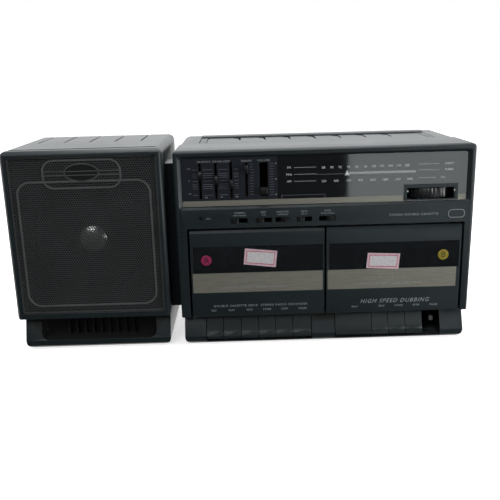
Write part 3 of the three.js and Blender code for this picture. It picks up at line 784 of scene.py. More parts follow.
# ------------------------------------------------------------------------ repeaters
class NodeTree(Wiring):
    """Builds one Geometry Nodes tree with named size inputs."""

    def __init__(self, name: str) -> None:
        """Starts an empty tree with a geometry output.

        Args:
            name: the tree's name.
        """
        super().__init__(bpy.data.node_groups.new(name, "GeometryNodeTree"))
        self.tree.interface.new_socket("Geometry", in_out="OUTPUT", socket_type="NodeSocketGeometry")
        self.entry = self.add("NodeGroupInput")
        self.exit = self.add("NodeGroupOutput")

    def size(self, name: str, kind: str = "NodeSocketFloat") -> str:
        """Adds a named input and returns its identifier."""
        return self.tree.interface.new_socket(name, in_out="INPUT", socket_type=kind).identifier

    def close(self, source: bpy.types.Node, look: Look, out: str = "Geometry") -> None:
        """Ends the tree in Realize Instances and Set Material.

        Args:
            source: the node whose geometry is the result.
            look: finish of the result.
            out: its output socket.
        """
        real = self.add("GeometryNodeRealizeInstances")
        dress = self.add("GeometryNodeSetMaterial", Material=look.material())
        self.link(source, out, real, "Geometry")
        self.link(real, "Geometry", dress, "Geometry")
        self.link(dress, "Geometry", self.exit, "Geometry")


def grown(tree: NodeTree, name: str, sizes: dict[str, float]) -> bpy.types.Mesh:
    """Evaluates a tree with given input values and returns a plain mesh.

    Args:
        tree: the finished node tree.
        name: name of the mesh.
        sizes: input identifier to value.

    Returns:
        The resulting mesh data.
    """
    holder = placed(name, bpy.data.meshes.new(name))
    modifier = holder.modifiers.new("grow", "NODES")
    modifier.node_group = tree.tree
    for identifier, value in sizes.items():
        modifier[identifier] = value
    mesh = evaluated(holder)
    holder.modifiers.clear()
    bpy.data.objects.remove(holder)
    return mesh


@dataclass
class PerforatedSheet:
    """Hexagonal lattice of round-cornered holes, made by Geometry Nodes."""

    pitch: float = 2.45
    open_share: float = 0.74
    thickness: float = 0.8
    front: float = 2.45
    rim: float = 1.6
    proud: float = 0.05
    flange: float = 2.4

    def lattice(self, width: float, height: float) -> bpy.types.Mesh:
        """The bare lattice in the xy plane, centred on the origin.

        Args:
            width: overall width, in millimetres.
            height: overall height.

        Returns:
            A one-sided mesh with a hole in each cell.
        """
        tree = NodeTree("perforation")
        pitch = tree.size("Pitch")
        wide = tree.size("Width")
        high = tree.size("Height")
        columns = tree.size("Columns", "NodeSocketInt")
        rows = tree.size("Row pairs", "NodeSocketInt")
        opening = tree.size("Open share")
        root3 = math.sqrt(3)
        row_step = self.pitch * root3
        count_x = int(width // self.pitch)
        count_y = int(height // row_step)
        cell = tree.add("GeometryNodeMeshCircle", fill_type="NGON", Vertices=6)
        reach = tree.add("ShaderNodeMath", operation="DIVIDE")
        reach.inputs[1].default_value = root3
        tree.link(tree.entry, "Pitch", reach, 0)
        tree.link(reach, 0, cell, "Radius")
        both = tree.add("GeometryNodeJoinGeometry")
        for odd in (0, 1):
            grid = tree.add("GeometryNodeMeshGrid")
            tree.link(tree.entry, "Width", grid, "Size X")
            tree.link(tree.entry, "Height", grid, "Size Y")
            tree.link(tree.entry, "Columns", grid, "Vertices X")
            tree.link(tree.entry, "Row pairs", grid, "Vertices Y")
            shift = (odd * self.pitch / 2, odd * row_step / 2, 0)
            move = tree.add("GeometryNodeTransform", Translation=shift)
            tree.link(grid, "Mesh", move, "Geometry")
            tree.link(move, "Geometry", both, "Geometry")
        place = tree.add("GeometryNodeInstanceOnPoints", Rotation=(0, 0, math.radians(30)))
        tree.link(both, "Geometry", place, "Points")
        tree.link(cell, "Mesh", place, "Instance")
        real = tree.add("GeometryNodeRealizeInstances")
        tree.link(place, "Instances", real, "Geometry")
        weld = tree.add("GeometryNodeMergeByDistance", Distance=self.pitch * 0.02)
        tree.link(real, "Geometry", weld, "Geometry")
        inset = tree.add("GeometryNodeExtrudeMesh", mode="FACES", Offset_Scale=0.0, Individual=True)
        tree.link(weld, "Geometry", inset, "Mesh")
        shrink = tree.add("GeometryNodeScaleElements", domain="FACE")
        tree.link(inset, "Mesh", shrink, "Geometry")
        tree.link(inset, "Top", shrink, "Selection")
        tree.link(tree.entry, "Open share", shrink, "Scale")
        punch = tree.add("GeometryNodeDeleteGeometry", domain="FACE", mode="ONLY_FACE")
        tree.link(shrink, "Geometry", punch, "Geometry")
        tree.link(inset, "Top", punch, "Selection")
        tree.close(punch, Look.GRILLE)
        sizes = {
            pitch: self.pitch,
            wide: (count_x - 1) * self.pitch,
            high: (count_y - 1) * row_step,
            columns: count_x,
            rows: count_y,
            opening: self.open_share,
        }
        return grown(tree, "lattice", sizes)

    def build(self, shop: Workshop, edges: Edges) -> bpy.types.Object:
        """The sheet between given edges, closed and with a solid rim.

        Args:
            shop: the workshop.
            edges: left, right, bottom and top.

        Returns:
            The finished sheet, not yet declared.
        """
        x0, x1, z0, z1 = edges
        mesh = bmesh.new()
        mesh.from_mesh(self.lattice(x1 - x0 - self.pitch, z1 - z0 - self.pitch))
        loose = [v for v in mesh.verts if not v.link_faces]
        bmesh.ops.delete(mesh, geom=loose, context="VERTS")
        middle = ((x0 + x1) / 2 - self.pitch / 4, self.front, (z0 + z1) / 2 - self.pitch / 2)
        mesh.transform(Matrix.Translation(middle) @ Matrix.Rotation(math.pi / 2, 4, "X"))
        sheet = shop.from_bmesh("grille_sheet", mesh, [Look.GRILLE])
        wall = sheet.modifiers.new("wall", "SOLIDIFY")
        wall.thickness = self.thickness * MM
        wall.offset = -1
        shop.baked(sheet)
        border = Sketch()
        outer, inner = (
            [(x0 + m, z0 + m), (x1 - m, z0 + m), (x1 - m, z1 - m), (x0 + m, z1 - m)] for m in (0, self.rim)
        )
        border.ring(outer, inner, self.front - self.proud, self.front + self.flange)
        edge = border.tidy()
        edge.transform(shop.datum.matrix())
        edge.from_mesh(sheet.data)
        edge.to_mesh(sheet.data)
        edge.free()
        return sheet


@dataclass
class ScrewField:
    """Sunk cross-head screws placed by Geometry Nodes on a list of points."""

    radius: float = 2.6
    depth: float = 1.2

    def head(self) -> bpy.types.Mesh:
        """One screw head facing +z, with its cross recess."""
        mesh = bmesh.new()
        bmesh.ops.create_circle(mesh, cap_ends=True, segments=20, radius=self.radius)
        top = mesh.faces[:]
        made = bmesh.ops.extrude_face_region(mesh, geom=top)
        raised = [g for g in made["geom"] if isinstance(g, bmesh.types.BMVert)]
        bmesh.ops.translate(mesh, vec=(0, 0, self.depth), verts=raised)
        rim = [g for g in made["geom"] if isinstance(g, bmesh.types.BMEdge)]
        bmesh.ops.bevel(mesh, geom=rim, offset=self.radius * 0.18, segments=3, affect="EDGES")
        for angle in (0.0, math.pi / 2):
            bar = Matrix.Translation((0, 0, self.depth)) @ Matrix.Rotation(angle, 4, "Z")
            size = Matrix.Diagonal((self.radius * 1.15, self.radius * 0.24, 0.16, 1.0))
            bmesh.ops.create_cube(mesh, size=1.0, matrix=bar @ size)
        bmesh.ops.recalc_face_normals(mesh, faces=mesh.faces)
        return mesh_data("screw_head", mesh)

    def build(self, shop: Workshop, name: str, points: Sequence[Point], turn: Matrix) -> bpy.types.Object:
        """Places a screw on every point, facing the way that turn gives.

        Args:
            shop: the workshop.
            name: the piece's name.
            points: places in datum millimetres.
            turn: rotation from +z to the way that the heads face.

        Returns:
            The screws as one mesh, not yet declared.
        """
        head = placed("screw_head", self.head())
        tree = NodeTree("screws")
        scale = tree.size("Scale")
        both = tree.add("GeometryNodeJoinGeometry")
        for point in points:
            spot = tree.add("GeometryNodeMeshLine", Count=1, Start_Location=turn.inverted() @ Vector(point))
            tree.link(spot, "Mesh", both, "Geometry")
        info = tree.add("GeometryNodeObjectInfo", Object=head)
        place = tree.add("GeometryNodeInstanceOnPoints")
        tree.link(both, "Geometry", place, "Points")
        tree.link(info, "Geometry", place, "Instance")
        tree.link(tree.entry, "Scale", place, "Scale")
        tree.close(place, Look.STEEL, "Instances")
        data = grown(tree, name, {scale: 1.0})
        bpy.data.objects.remove(head)
        mesh = bmesh.new()
        mesh.from_mesh(data)
        mesh.transform(turn)
        return shop.from_bmesh(name, mesh, [Look.STEEL])


# ---------------------------------------------------------------------- sub-assemblies
@dataclass
class Cabinet:
    """Main housing: two cabinet halves, base, handle and the fittings on the back."""

    shop: Workshop
    edge: float = 0.5
    fine_edge: float = 0.25
    screws: Sequence[Point] = (
        (14, 158, 44), (286, 158, 140), (14, 158, 176), (286, 158, 176), (150, 158, 176), (68, 158, 44),
    )

    def build(self) -> None:
        """Builds and declares every piece of the housing."""
        shell = [
            (node, Look.SHELL, self.edge, "shell")
            for node in ("front_cabinet", "rear_cabinet", "plinth", "carry_handle")
        ]
        # The plinth zone is painted shade: the key well behind and under the keys is made black.
        self.shop.dress(shell, {"plinth": Zone(Look.BLACK, (20, 9, 4), (280, 60, 33))})
        self.shop.dress((
            ("battery_cover", Look.SHELL, self.fine_edge, "shell"),
            ("power_inlet", Look.BLACK, self.fine_edge, "dark_plastic"),
            ("jack_panel", Look.BLACK, self.fine_edge, "dark_plastic"),
            ("aerial_mast", Look.CHROME, self.fine_edge, "chrome"),
            ("aerial_tip", Look.CHROME, self.fine_edge, "chrome"),
            ("microphone", Look.BLACK, 0.0, "steel"),
        ))
        self.grip_ridges()
        self.rear_screws()

    def grip_ridges(self) -> None:
        """Five short ridges near the top of the left pillar."""
        sketch = Sketch()
        lowest, step, tall = 106, 4.2, 1.1
        for i in range(5):
            z = lowest + step * i
            sketch.box((3.2, -0.35, z), (8.6, 0.3, z + tall))
        piece = self.shop.from_bmesh("pillar_ridges", sketch.tidy(), [Look.SHELL])
        self.shop.finish_piece(piece, "main_unit", "shell")

    def rear_screws(self) -> None:
        """Screws that hold the rear half, in their places on the back."""
        backwards = Matrix.Rotation(-math.pi / 2, 4, "X")
        sunk = [(x, y - 0.2, z) for x, y, z in self.screws]
        piece = ScrewField(2.4, 0.7).build(self.shop, "rear_screws", sunk, backwards)
        self.shop.finish_piece(piece, "main_unit", "steel")


@dataclass
class DialPanel:
    """Tuner window with its scales, tone sliders, tuning wheel and pointer."""

    shop: Workshop
    front: float = 2.95  # planes of the print on the window, whose face is at 3
    back: float = 3.03
    inside: float = 2.12  # plane of the print round the tuning wheel
    tick_rows: Sequence[float] = (184.4, 180.5, 178.6, 176.7, 173.2, 169.8, 167.8, 165.7, 159.0)
    slider_x: Sequence[float] = (26.2, 41.9, 57.0)
    arrow: Edges = (169.9, 174.7, 175.2, 180.4)
    arrow_planes: Flat = (2.9, 2.98)
    line_half: float = 0.12  # half the thickness of the guide lines
    caption_rows: Sequence[tuple[str, float]] = (("FM", 184.2), ("MHz", 177.4), ("AM", 170.5))
    fm_words: str = "88 90 92 94 96 98 100 102 104 106 108"
    am_words: str = "530 600 700 800 1000 1200 1400 1600"

    def build(self) -> None:
        """Builds and declares every piece of the panel."""
        self.shop.dress(
            (
                ("dial_window", Look.PANEL, 0.0, "gloss_panel"),
                ("dial_plate", Look.BLACK, 0.0, "dark_plastic"),
                ("dial_pointer", Look.BLACK, 0.0, "white_plastic"),
                ("tuning_wheel", Look.KNOB, 0.2, "knob"),
            ),
            {
                "dial_window": Zone(Look.DIAL_GLASS, (103, -5, 140), (300, 12, 210), cut_x=103),
                "dial_pointer": Zone(Look.WHITE, (160, 7.5, 178), (185, 8.2, 184)),
            },
        )
        sliders = ("eq_slider_low", "eq_slider_mid", "eq_slider_high", "balance_slider", "volume_slider")
        self.shop.dress([(node, Look.KNOB, 0.3, "knob") for node in sliders])
        self.tone_scales()
        self.tuning_scale()
        self.pointer_tip()

    def rule(self, ink: Sketch, x: Flat, z: Flat, slot: int) -> None:
        """Prints a bar on the window.

        Args:
            ink: the print it belongs to.
            x: its left and right ends.
            z: its lower and upper edges.
            slot: material slot.
        """
        ink.box((x[0], self.front, z[0]), (x[1], self.back, z[1]), slot)

    def line(self, ink: Sketch, x: Flat, z: float, half: float, slot: int) -> None:
        """Prints a level line at z, half above it and half below."""
        self.rule(ink, x, (z - half, z + half), slot)

    def pointer_tip(self) -> None:
        """White arrow that shows the tuned frequency."""
        sketch = Sketch()
        left, right, low, high = self.arrow
        sketch.slab([(left, low), (right, low), ((left + right) / 2, high)], *self.arrow_planes)
        piece = self.shop.from_bmesh("pointer_tip", sketch.tidy(), [Look.BRIGHT_INK])
        self.shop.finish_piece(piece, body_holding("dial_pointer"), "white_plastic")

    def tone_scales(self) -> None:
        """Tick rows, level marks and captions round the five sliders."""
        ink = Sketch()
        pale, foil, dim = range(3)
        for gap in ((18.6, 23.8), (29.0, 39.0), (44.6, 54.0), (59.8, 64.4)):
            for z in self.tick_rows:
                self.line(ink, gap, z, 0.16, dim)
        for words, z in (("+10", 185.6), ("0", 173.6), ("-10", 160.6)):
            ink.text(words, 15.2, z, 1.7, self.front)
        for x, words in zip(self.slider_x, ("100", "1K", "10K")):
            ink.text(words, x + 5.2, 156.6, 1.6, self.front)
        ink.text("GRAPHIC EQUALIZER", 40, 192.2, 1.9, self.front, spacing=1.35)
        ink.text("BALANCE", 72.4, 192.2, 1.7, self.front)
        ink.text("VOLUME", 89.6, 192.2, 1.9, self.front, spacing=1.3)
        for count, gap, lowest, step in ((12, (75.6, 79.4), 158.6, 2.75), (13, (95.2, 99.4), 157.8, 2.62)):
            for i in range(count):
                self.line(ink, gap, lowest + i * step, 0.14, dim)
        for z in (158, 173.4, 189):
            self.line(ink, (101, 102), z, 0.5, pale)
        ink.slab(round_rect((7.9, 229.2, 147.6, 153.2), 0.6, 2), self.front, self.back, foil)
        self.rule(ink, (284, 292), (147.6, 153.2), foil)
        piece = self.shop.from_bmesh("tone_scales", ink.tidy(), [Look.INK, Look.FOIL, Look.DIM_INK])
        self.shop.finish_piece(piece, "main_unit", "gloss_panel")

    def tuning_scale(self) -> None:
        """Frequency numbers, band captions and guide lines of the tuner."""
        ink = Sketch()
        looks = [Look.BRIGHT_INK, Look.FOIL, Look.DIM_INK, Look.CHANNEL, Look.SHELL]
        bright, dim, channel, bezel = (0, 2, 3, 4)
        for words, z in self.caption_rows:
            ink.text(words, 114.6, z, 2.2, self.front)
            self.line(ink, (119.5, 141.5), z, self.line_half, bright)
        for band, first, step, z, height in (
            (self.fm_words, 148.7, 8.28, 183.4, 2.4), (self.am_words, 149.3, 12.2, 169.8, 2.3),
        ):
            for i, words in enumerate(band.split()):
                ink.text(words, first + i * step, z, height, self.front)
        self.rule(ink, (174, 241), (176.2, 178.4), channel)
        self.rule(ink, (141.5, 174), (176.6, 177.0), dim)
        for z, right in ((184.3, 264), (178.4, 264), (170.6, 261)):
            self.line(ink, (242.5, right), z, self.line_half, bright)
        for words, x, z in (("STEREO", 274, 184.3), ("TUNED", 274, 178.4), ("kHz", 268, 170.6)):
            ink.text(words, x, z, 2.0, self.front)
        for x, tip in ((233.6, -1), (279.6, 1)):
            shape = [(x, 158.5), (x + tip * 1.8, 157.4), (x, 156.3)]
            ink.slab(shape if tip > 0 else shape[::-1], self.inside, self.inside + 0.12, bright)
        outer = round_rect((229.4, 283.6, 148.2, 164.2), 0.8, 3)
        inner = round_rect((232.4, 280.6, 149.1, 160.8), 0.5, 3)
        ink.ring(outer, inner, self.inside, self.inside + 0.08, bezel)
        self.rule(ink, (107, 150.5), (156.6, 156.9), dim)
        self.rule(ink, (107, 107.3), (150, 156.6), dim)
        self.rule(ink, (150.2, 150.5), (150, 156.6), dim)
        piece = self.shop.from_bmesh("tuning_scale", ink.tidy(), looks)
        self.shop.finish_piece(piece, "main_unit", "gloss_panel")


@dataclass
class ControlStrip:
    """Row of slide switches under the window, with captions."""

    shop: Workshop
    captions: Sequence[tuple[float, str, str]] = (
        (64.5, "DUBBING", "HIGH NORMAL"),
        (88.5, "BEAT", "A  B"),
        (107.5, "FUNCTION", "TAPE RADIO"),
        (129.2, "BAND", "AM  FM"),
        (152.6, "MODE", "MONO STEREO"),
    )

    front: float = -0.05  # planes of the print on the cabinet's front
    back: float = 0.03

    def build(self) -> None:
        switches = ("dubbing_switch", "beat_switch", "function_switch", "band_switch", "mode_switch")
        self.shop.dress([(node, Look.KNOB, 0.2, "knob") for node in switches])
        ink = Sketch()
        for x, upper, lower in self.captions:
            ink.text(upper, x, 140.6, 1.7, self.front)
            ink.text(lower, x, 137.9, 1.4, self.front)
        ink.text("MIC", 33, 135.6, 1.7, self.front)
        ink.text("STEREO DOUBLE CASSETTE", 239.5, 134.2, 2.3, self.front, spacing=1.3)
        plaque, radius, wide = (274.4, 290.8, 129.8, 138.2), 3.4, 0.5
        ink.ring(round_rect(plaque, radius, 5), round_rect(plaque, radius, 5, -wide), self.front, self.back)
        piece = self.shop.from_bmesh("switch_captions", ink.tidy(), [Look.INK])
        self.shop.finish_piece(piece, "main_unit", "shell")


class DeckName(Enum):
    """The two decks, by the letter in the names of their nodes."""

    A = "a"
    B = "b"


@dataclass(frozen=True)
class DoorTitle:
    """Line of function words above the key legends."""

    words: str
    x: float
    z: float
    height: float
    slant: float = 0.0
    spacing: float = 1.3


@dataclass
class CassetteDeck:
    """One tape deck: door, window, stripe, badge, tag, keys and what is behind."""

    shop: Workshop
    deck: DeckName
    left: float
    right: float
    badge: Flat
    keys: Sequence[str]
    key_edges: Sequence[float]
    legends: Sequence[str]
    tag: Sequence[Flat]
    stripe_x: Flat
    title: DoorTitle
    stripe: Flat = (57.3, 78.1)
    face: float = 0.3

    @property
    def centre(self) -> float:
        """Middle of the deck, across."""
        return (self.left + self.right) / 2

    def build(self) -> None:
        """Builds and declares every piece of the deck."""
        t = self.deck.value
        plan = [
            (f"door_{t}", Look.SHELL, 0.35, "shell"),
            (f"door_window_{t}", Look.WINDOW, 0.0, "smoked_window"),
            (f"deck_chassis_{t}", Look.STEEL, 0.0, "steel"),
            (f"supply_spindle_{t}", Look.BLACK, 0.2, "dark_plastic"),
            (f"takeup_spindle_{t}", Look.BLACK, 0.2, "dark_plastic"),
            (f"capstan_{t}", Look.STEEL, 0.15, "steel"),
            (f"head_bridge_{t}", Look.STEEL, 0.3, "steel"),
        ]
        plan += [(f"key_{key}_{t}", Look.KEYCAP, 0.45, "shell") for key in self.keys]
        if self.deck is DeckName.B:
            plan.append(("pause_lever_b", Look.STEEL, 0.2, "steel"))
        self.shop.dress(plan)
        self.door_print()
        self.door_badge()
        self.paper_tag()

    def door_print(self) -> None:
        """Foil stripe, tape gauge and function words on the door."""
        ink = Sketch()
        looks = [Look.INK, Look.FOIL]
        foil = looks.index(Look.FOIL)
        y = self.face - 0.06
        raised = y - 0.04
        back = self.face + 0.04
        x0, x1 = self.stripe_x
        z0, z1 = self.stripe
        ink.slab([(x0, z0), (x1, z0), (x1, z1), (x0, z1)], y, back, foil)
        gauge_x, gauge_top, step = self.centre - 12.8, 74, 3.0
        for i in range(9):
            x = gauge_x + i * step
            length = 2.0 if i % 4 else 3.6
            ink.box((x - 0.13, raised, gauge_top - length), (x + 0.13, back, gauge_top))
        for i, words in enumerate(("100", "50", "0")):
            ink.text(words, gauge_x + i * 4 * step, 68.4, 1.7, raised)
        ink.text("AUTO STOP  SOFT EJECT  NORMAL AND CHROME", self.centre - 3.5, 62.3, 2.1, raised)
        for low, high, words in zip(self.key_edges, self.key_edges[1:], self.legends):
            ink.text(words, (low + high) / 2, 37.6, 2.1, y)
        title = self.title
        ink.text(title.words, title.x, title.z, title.height, y, slant=title.slant, spacing=title.spacing)
        piece = self.shop.from_bmesh(f"door_print_{self.deck.value}", ink.tidy(), looks)
        self.shop.finish_piece(piece, f"door_{self.deck.value}", "shell")

    def door_badge(self) -> None:
        """Round coloured badge with the deck's letter."""
        sketch = Sketch()
        x, z = self.badge
        sketch.lathe((x, z), [(0, 0.34), (5.4, 0.34), (5.4, 0.1), (5.0, -0.05), (0, -0.05)], 0, 48)
        letter = 1
        sketch.text(self.deck.name, x, z, 6.6, -0.11, letter)
        colour = Look.PINK if self.deck is DeckName.A else Look.YELLOW
        piece = self.shop.from_bmesh(f"badge_{self.deck.value}", sketch.tidy(), [colour, Look.BLACK_INK])
        self.shop.finish_piece(piece, f"door_{self.deck.value}", "smoked_window")

    def paper_tag(self) -> None:
        """Blank paper tag with a coloured inner frame, stuck on at a slant."""
        corners = [Vector(c) for c in self.tag]
        centre = sum(corners, Vector((0, 0))) / 4
        y = self.face - 0.14

        def shrunk(across: float, up: float) -> list[Flat]:
            """The tag's outline scaled about its centre, across and up."""
            return [tuple(centre + Vector(((c - centre).x * across, (c - centre).y * up))) for c in corners]

        sketch = Sketch()
        looks = [Look.PAPER, Look.RED_INK, Look.PINK_PAPER]
        blank, frame, margin = range(3)
        sketch.slab(shrunk(1.0, 1.0), y, self.face + 0.11, margin)
        sketch.slab(shrunk(0.82, 0.66), y - 0.02, y + 0.04, blank)
        sketch.ring(shrunk(0.88, 0.78), shrunk(0.85, 0.7), y - 0.03, y + 0.05, frame)
        piece = self.shop.from_bmesh(f"paper_tag_{self.deck.value}", sketch.tidy(), looks)
        self.shop.finish_piece(piece, f"door_{self.deck.value}", "white_plastic")


@dataclass
class Loudspeaker:
    """Detachable loudspeaker: box, frame, perforated grille, driver and base."""

    shop: Workshop
    centre: float = -89.6
    axis: float = 112.0
    grille: Edges = (-163.1, -16.1, 39.6, 201.3)
    bead: Edges = (-155.4, -23.8, 47.5, 176.5)
    badge: Edges = (-129.4, -51.0, 169.0, 198.5)
    relief_back: float = 2.7
    lens: Flat = (-90.2, 185.4)
    surround: Sequence[float] = (50.9, 13.9, 2.9, 1.5)  # middle radius, depth, half width, rise
    paper: Sequence[float] = (48.0, 14.8, 31.0, 12.6)  # rim radius, depth, width, fall
    cap: Sequence[float] = (16.2, 20.9, 6.6)  # radius, depth, rise

    def build(self) -> None:
        """Builds and declares every piece of the loudspeaker."""
        self.shop.dress(
            (
                ("speaker_cabinet", Look.SHELL, 0.5, "shell"),
                ("speaker_frame", Look.SHELL, 0.6, "shell"),
                ("speaker_base", Look.SHELL, 0.5, "shell"),
                ("speaker_driver", Look.MAGNET, 0.0, "magnet"),
            ),
            {
                # Both zones are painted shade: the speaker frame's faces behind its front, round and behind
                # the grille, and the port in the base are made black.
                "speaker_frame": Zone(Look.BLACK, (-168, 3.6, 36), (-12, 30, 204)),
                "speaker_base": Zone(Look.BLACK, (-165, 9, 4), (-10, 60, 33)),
            },
        )
        sheet = PerforatedSheet().build(self.shop, self.grille)
        self.shop.finish_piece(sheet, "speaker", "grille", ("speaker_grille",))
        self.relief()
        self.cone()

    def relief(self) -> None:
        """Embossed bead round the sheet and the lens badge above it, painted lighter than the sheet as a
        highlight.
        """
        sketch = Sketch()
        back = self.relief_back
        for grow, y in ((1.1, 2.1), (0.6, 1.7)):
            sketch.ring(round_rect(self.bead, 13, 10, grow), round_rect(self.bead, 13, 10, -grow), y, back)
        sketch.ring(round_rect(self.badge, 12, 10), round_rect(self.badge, 12, 10, -1.8), 1.62, back)
        for z in (182.4, 186.2):
            sketch.box((-127.8, 1.7, z), (-52.6, back, z + 0.8))
        outer, inner = self.lens_outline(17.4, 9.0), self.lens_outline(16.4, 8.0)
        sketch.ring(outer, inner, 1.7, back)
        dark = 1
        sketch.slab(inner, 1.95, back, dark)
        # The relief's lighter enamel is a painted highlight; the lens inside it is black.
        piece = self.shop.from_bmesh("grille_relief", sketch.tidy(), [Look.RAISED, Look.BLACK])
        self.shop.finish_piece(piece, "speaker", "grille")

    def lens_outline(self, half_width: float, half_height: float) -> list[Flat]:
        """Ellipse in the middle of the badge, anticlockwise seen from the front.

        Args:
            half_width: half its width.
            half_height: half its height.

        Returns:
            The outline's points.
        """
        turn = [2 * math.pi * i / 48 for i in range(48)]
        x, z = self.lens
        return [(x + half_width * math.cos(a), z + half_height * math.sin(a)) for a in turn]

    def cone(self) -> None:
        """Paper cone with rolled surround, ribs and a bright dust cap."""
        middle, depth, half, rise = self.surround
        front = [(55.0, 12.3)]
        for i in range(9):
            angle = math.pi * i / 8
            front.append((middle + half * math.cos(angle), depth - rise * math.sin(angle)))
        rim, depth, width, fall = self.paper
        steps = 16
        for i in range(steps + 1):
            rib = 0.35 if i % 2 else 0
            front.append((rim - width * i / steps, depth + fall * (i / steps) ** 0.9 + rib))
        wall = 0.5
        back = [(radius, y + wall) for radius, y in front[::-1]]
        radius, depth, rise = self.cap
        dome = []
        for i in range(17):
            angle = math.radians(5.6 * i)
            dome.append((radius * math.sin(angle), depth + rise * (1 - math.cos(angle))))
        sketch = Sketch()
        paper, foil = range(2)
        axis = (self.centre, self.axis)
        sketch.lathe(axis, front + back, paper, 72)
        sketch.lathe(axis, dome + [(15.9, 29), (0, 29)], foil, 64)
        sketch.lathe(axis, [(15.6, 28), (15.6, 45.8), (14.9, 45.8), (14.9, 28)], paper, 40)
        piece = self.shop.from_bmesh("cone_and_cap", sketch.tidy(), [Look.CONE, Look.SILVER])
        piece.data.shade_smooth()
        self.shop.finish_piece(piece, "speaker_cone", "cone", ("speaker_cone",))


@dataclass
class Mechanism:
    """Working parts behind the decks: motor, circuit board and transformer."""

    shop: Workshop

    def build(self) -> None:
        self.shop.dress((
            ("drive_motor", Look.STEEL, 0.4, "steel"),
            ("circuit_board", Look.BOARD, 0.2, "board"),
            ("power_transformer", Look.COPPER, 0.4, "lamination"),
        ))


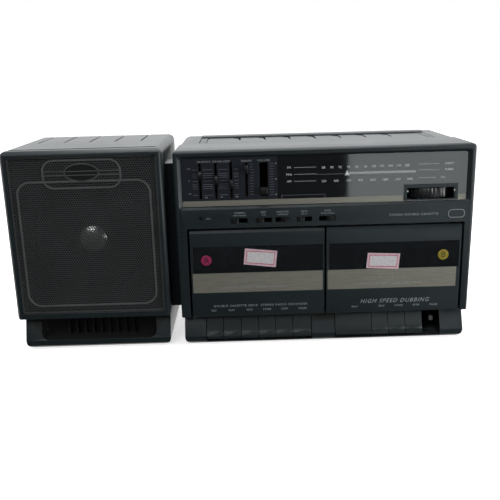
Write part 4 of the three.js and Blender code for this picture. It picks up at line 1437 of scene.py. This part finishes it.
@dataclass
class Studio:
    """Camera, floor, backdrop light and lamps."""

    shop: Workshop
    eye: Point = (66.9, -662.8, 279.6)
    pitch: float = 15.0
    yaw: float = 0.6
    roll: float = -1.5
    lens: float = 48.65
    aim: Point = (70, 0, 100)
    lamps: Sequence[tuple[str, Point, float, float]] = (
        ("key", (-380, -900, 900), 700, 5.0),
        ("side", (900, -420, 160), 420, 4.0),
        ("top", (70, 250, 1000), 900, 10.0),
    )
    sky: tuple[Flat, Flat] = ((-0.4, 0.8), (0.07, 1.75))  # direction towards the back, and its brightness
    card_edges: Edges = (254, 470, 40, 140)
    card_y: float = -500

    def build(self) -> None:
        """Sets up camera, floor, world and lamps."""
        self.camera()
        self.floor()
        self.world()
        for name, at, size, power in self.lamps:
            self.lamp(name, at, size, power)
        self.card()
        bpy.context.scene.view_settings.view_transform = "Standard"

    def camera(self) -> None:
        """Places the camera and makes it the scene's."""
        data = bpy.data.cameras.new("camera")
        data.lens = self.lens
        data.sensor_width = 36.0
        data.clip_end = 50.0
        obj = placed("camera", data)
        pitch, yaw, roll = (math.radians(angle) for angle in (self.pitch, self.yaw, self.roll))
        ahead = Vector((math.sin(yaw) * math.cos(pitch), math.cos(yaw) * math.cos(pitch), -math.sin(pitch)))
        right = Vector((math.cos(yaw), -math.sin(yaw), 0))
        down = ahead.cross(right)
        across = right * math.cos(-roll) + down * math.sin(-roll)
        below = down * math.cos(-roll) - right * math.sin(-roll)
        turn = Matrix((across, -below, -ahead)).transposed().to_4x4()
        obj.matrix_world = Matrix.Translation(self.shop.datum.at(*self.eye)) @ turn
        bpy.context.scene.camera = obj

    def glowing(
        self, name: str, mesh: bmesh.types.BMesh, paint: str, **surface: object
    ) -> bpy.types.Object:
        """Places a stage mesh that lights what it faces.

        Args:
            name: the object's name.
            mesh: its geometry, in the frame; it is freed.
            paint: name of its material.
            surface: inputs of the material's surface.

        Returns:
            The stage object.
        """
        material = bpy.data.materials.new(paint)
        Graph(material).set(**surface)
        data = mesh_data(name, mesh)
        data.materials.append(material)
        obj = placed(name, data)
        obj.visible_diffuse = False
        return obj

    def floor(self) -> None:
        """Large pale floor just under the player's base."""
        mesh = bmesh.new()
        bmesh.ops.create_grid(mesh, x_segments=2, y_segments=2, size=9.0)
        obj = self.glowing(
            "floor", mesh, "floor_paint", Base_Color=(0.9, 0.9, 0.9, 1.0), Roughness=0.9,
            Emission_Color=(1.0, 1.0, 1.0, 1.0), Emission_Strength=0.62,
        )
        obj.location.z = -0.0005
        obj.visible_glossy = False

    def world(self) -> None:
        """Bright sky behind and above, dimmer towards the front."""
        world = bpy.data.worlds.new("studio")
        bpy.context.scene.world = world
        world.use_nodes = True
        sky = Wiring(world.node_tree)
        (low, high), (dim, bright) = self.sky
        soft = sky.add("ShaderNodeBackground")
        plain = sky.add("ShaderNodeBackground", Color=(1.0, 1.0, 1.0, 1.0), Strength=1.0)
        split = sky.add("ShaderNodeSeparateXYZ")
        ramp = sky.add("ShaderNodeMapRange", From_Min=low, From_Max=high, To_Min=dim, To_Max=bright)
        mix = sky.add("ShaderNodeMixShader")
        sky.link(sky.add("ShaderNodeTexCoord"), "Generated", split, "Vector")
        sky.link(split, "Y", ramp, "Value")
        sky.link(ramp, "Result", soft, "Strength")
        sky.link(sky.add("ShaderNodeLightPath"), "Is Camera Ray", mix, "Fac")
        sky.link(soft, "Background", mix, 1)
        sky.link(plain, "Background", mix, 2)
        sky.link(mix, "Shader", sky.add("ShaderNodeOutputWorld"), "Surface")

    def lamp(self, name: str, at: Point, size: float, power: float) -> None:
        """Adds a square soft lamp aimed at the middle of the player.

        Args:
            name: the lamp's name.
            at: its place, in datum millimetres.
            size: edge length in millimetres.
            power: watts.
        """
        data = bpy.data.lights.new(name, "AREA")
        data.size = size * MM
        data.energy = power
        obj = placed(name, data)
        place = self.shop.datum.at(*at)
        aim = self.shop.datum.at(*self.aim) - place
        obj.matrix_world = Matrix.Translation(place) @ aim.to_track_quat("-Z", "Y").to_matrix().to_4x4()

    def card(self) -> None:
        """Bright card low in front, seen only as a reflection."""
        mesh = bmesh.new()
        left, right, low, high = self.card_edges
        outline = ((left, low), (right, low), (right, high), (left, high))
        mesh.faces.new([mesh.verts.new(self.shop.datum.at(x, self.card_y, z)) for x, z in outline])
        obj = self.glowing(
            "card", mesh, "card_light", Base_Color=(0, 0, 0, 1),
            Emission_Color=(0.93, 1.0, 1.0, 1.0), Emission_Strength=3.0,
        )
        obj.visible_camera = False
        obj.visible_shadow = False


def decks(shop: Workshop) -> list[CassetteDeck]:
    """The two decks with their own badges, keys and tags.

    Args:
        shop: the workshop.

    Returns:
        Deck A and deck B.
    """
    keys = ("play", "rewind", "fast_forward", "stop_eject")
    legends = ("PLAY", "REW", "F.FWD", "STOP", "PAUSE")
    return [
        CassetteDeck(
            shop, DeckName.A, 13, 149.7, (29.0, 92.0),
            keys=("record", *keys, "pause"),
            key_edges=(26, 43.9, 62.6, 81.1, 99, 117.3, 136.9),
            legends=("REC", *legends),
            tag=((67.1, 87), (99.7, 83), (101.6, 100.1), (68.7, 103.7)),
            stripe_x=(14.4, 148.0),
            title=DoorTitle("DOUBLE CASSETTE DECK  STEREO RADIO RECORDER", 83.5, 42.4, 2.3),
        ),
        CassetteDeck(
            shop, DeckName.B, 151.8, 289.2, (271.3, 91.3),
            keys=keys,
            key_edges=(161.9, 200.9, 218.2, 236.4, 254.5, 273),
            legends=legends,
            tag=((192.6, 79.2), (225.7, 77.4), (227.1, 93.7), (194.1, 95.3)),
            stripe_x=(153.0, 285.4),
            title=DoorTitle("HIGH SPEED DUBBING", 222.5, 43.2, 4.4, 0.35, 1.2),
        ),
    ]


def main() -> None:
    """Builds the whole player round its frame and reports each piece."""
    logging.basicConfig(level=logging.INFO, format="%(name)s: %(message)s")
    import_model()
    shop = Workshop(Datum.from_frame())
    Studio(shop).build()
    Cabinet(shop).build()
    DialPanel(shop).build()
    ControlStrip(shop).build()
    for deck in decks(shop):
        deck.build()
    Loudspeaker(shop).build()
    Mechanism(shop).build()
    LOG.info("%d pieces", shop.count)


if __name__ == "__main__":
    main()
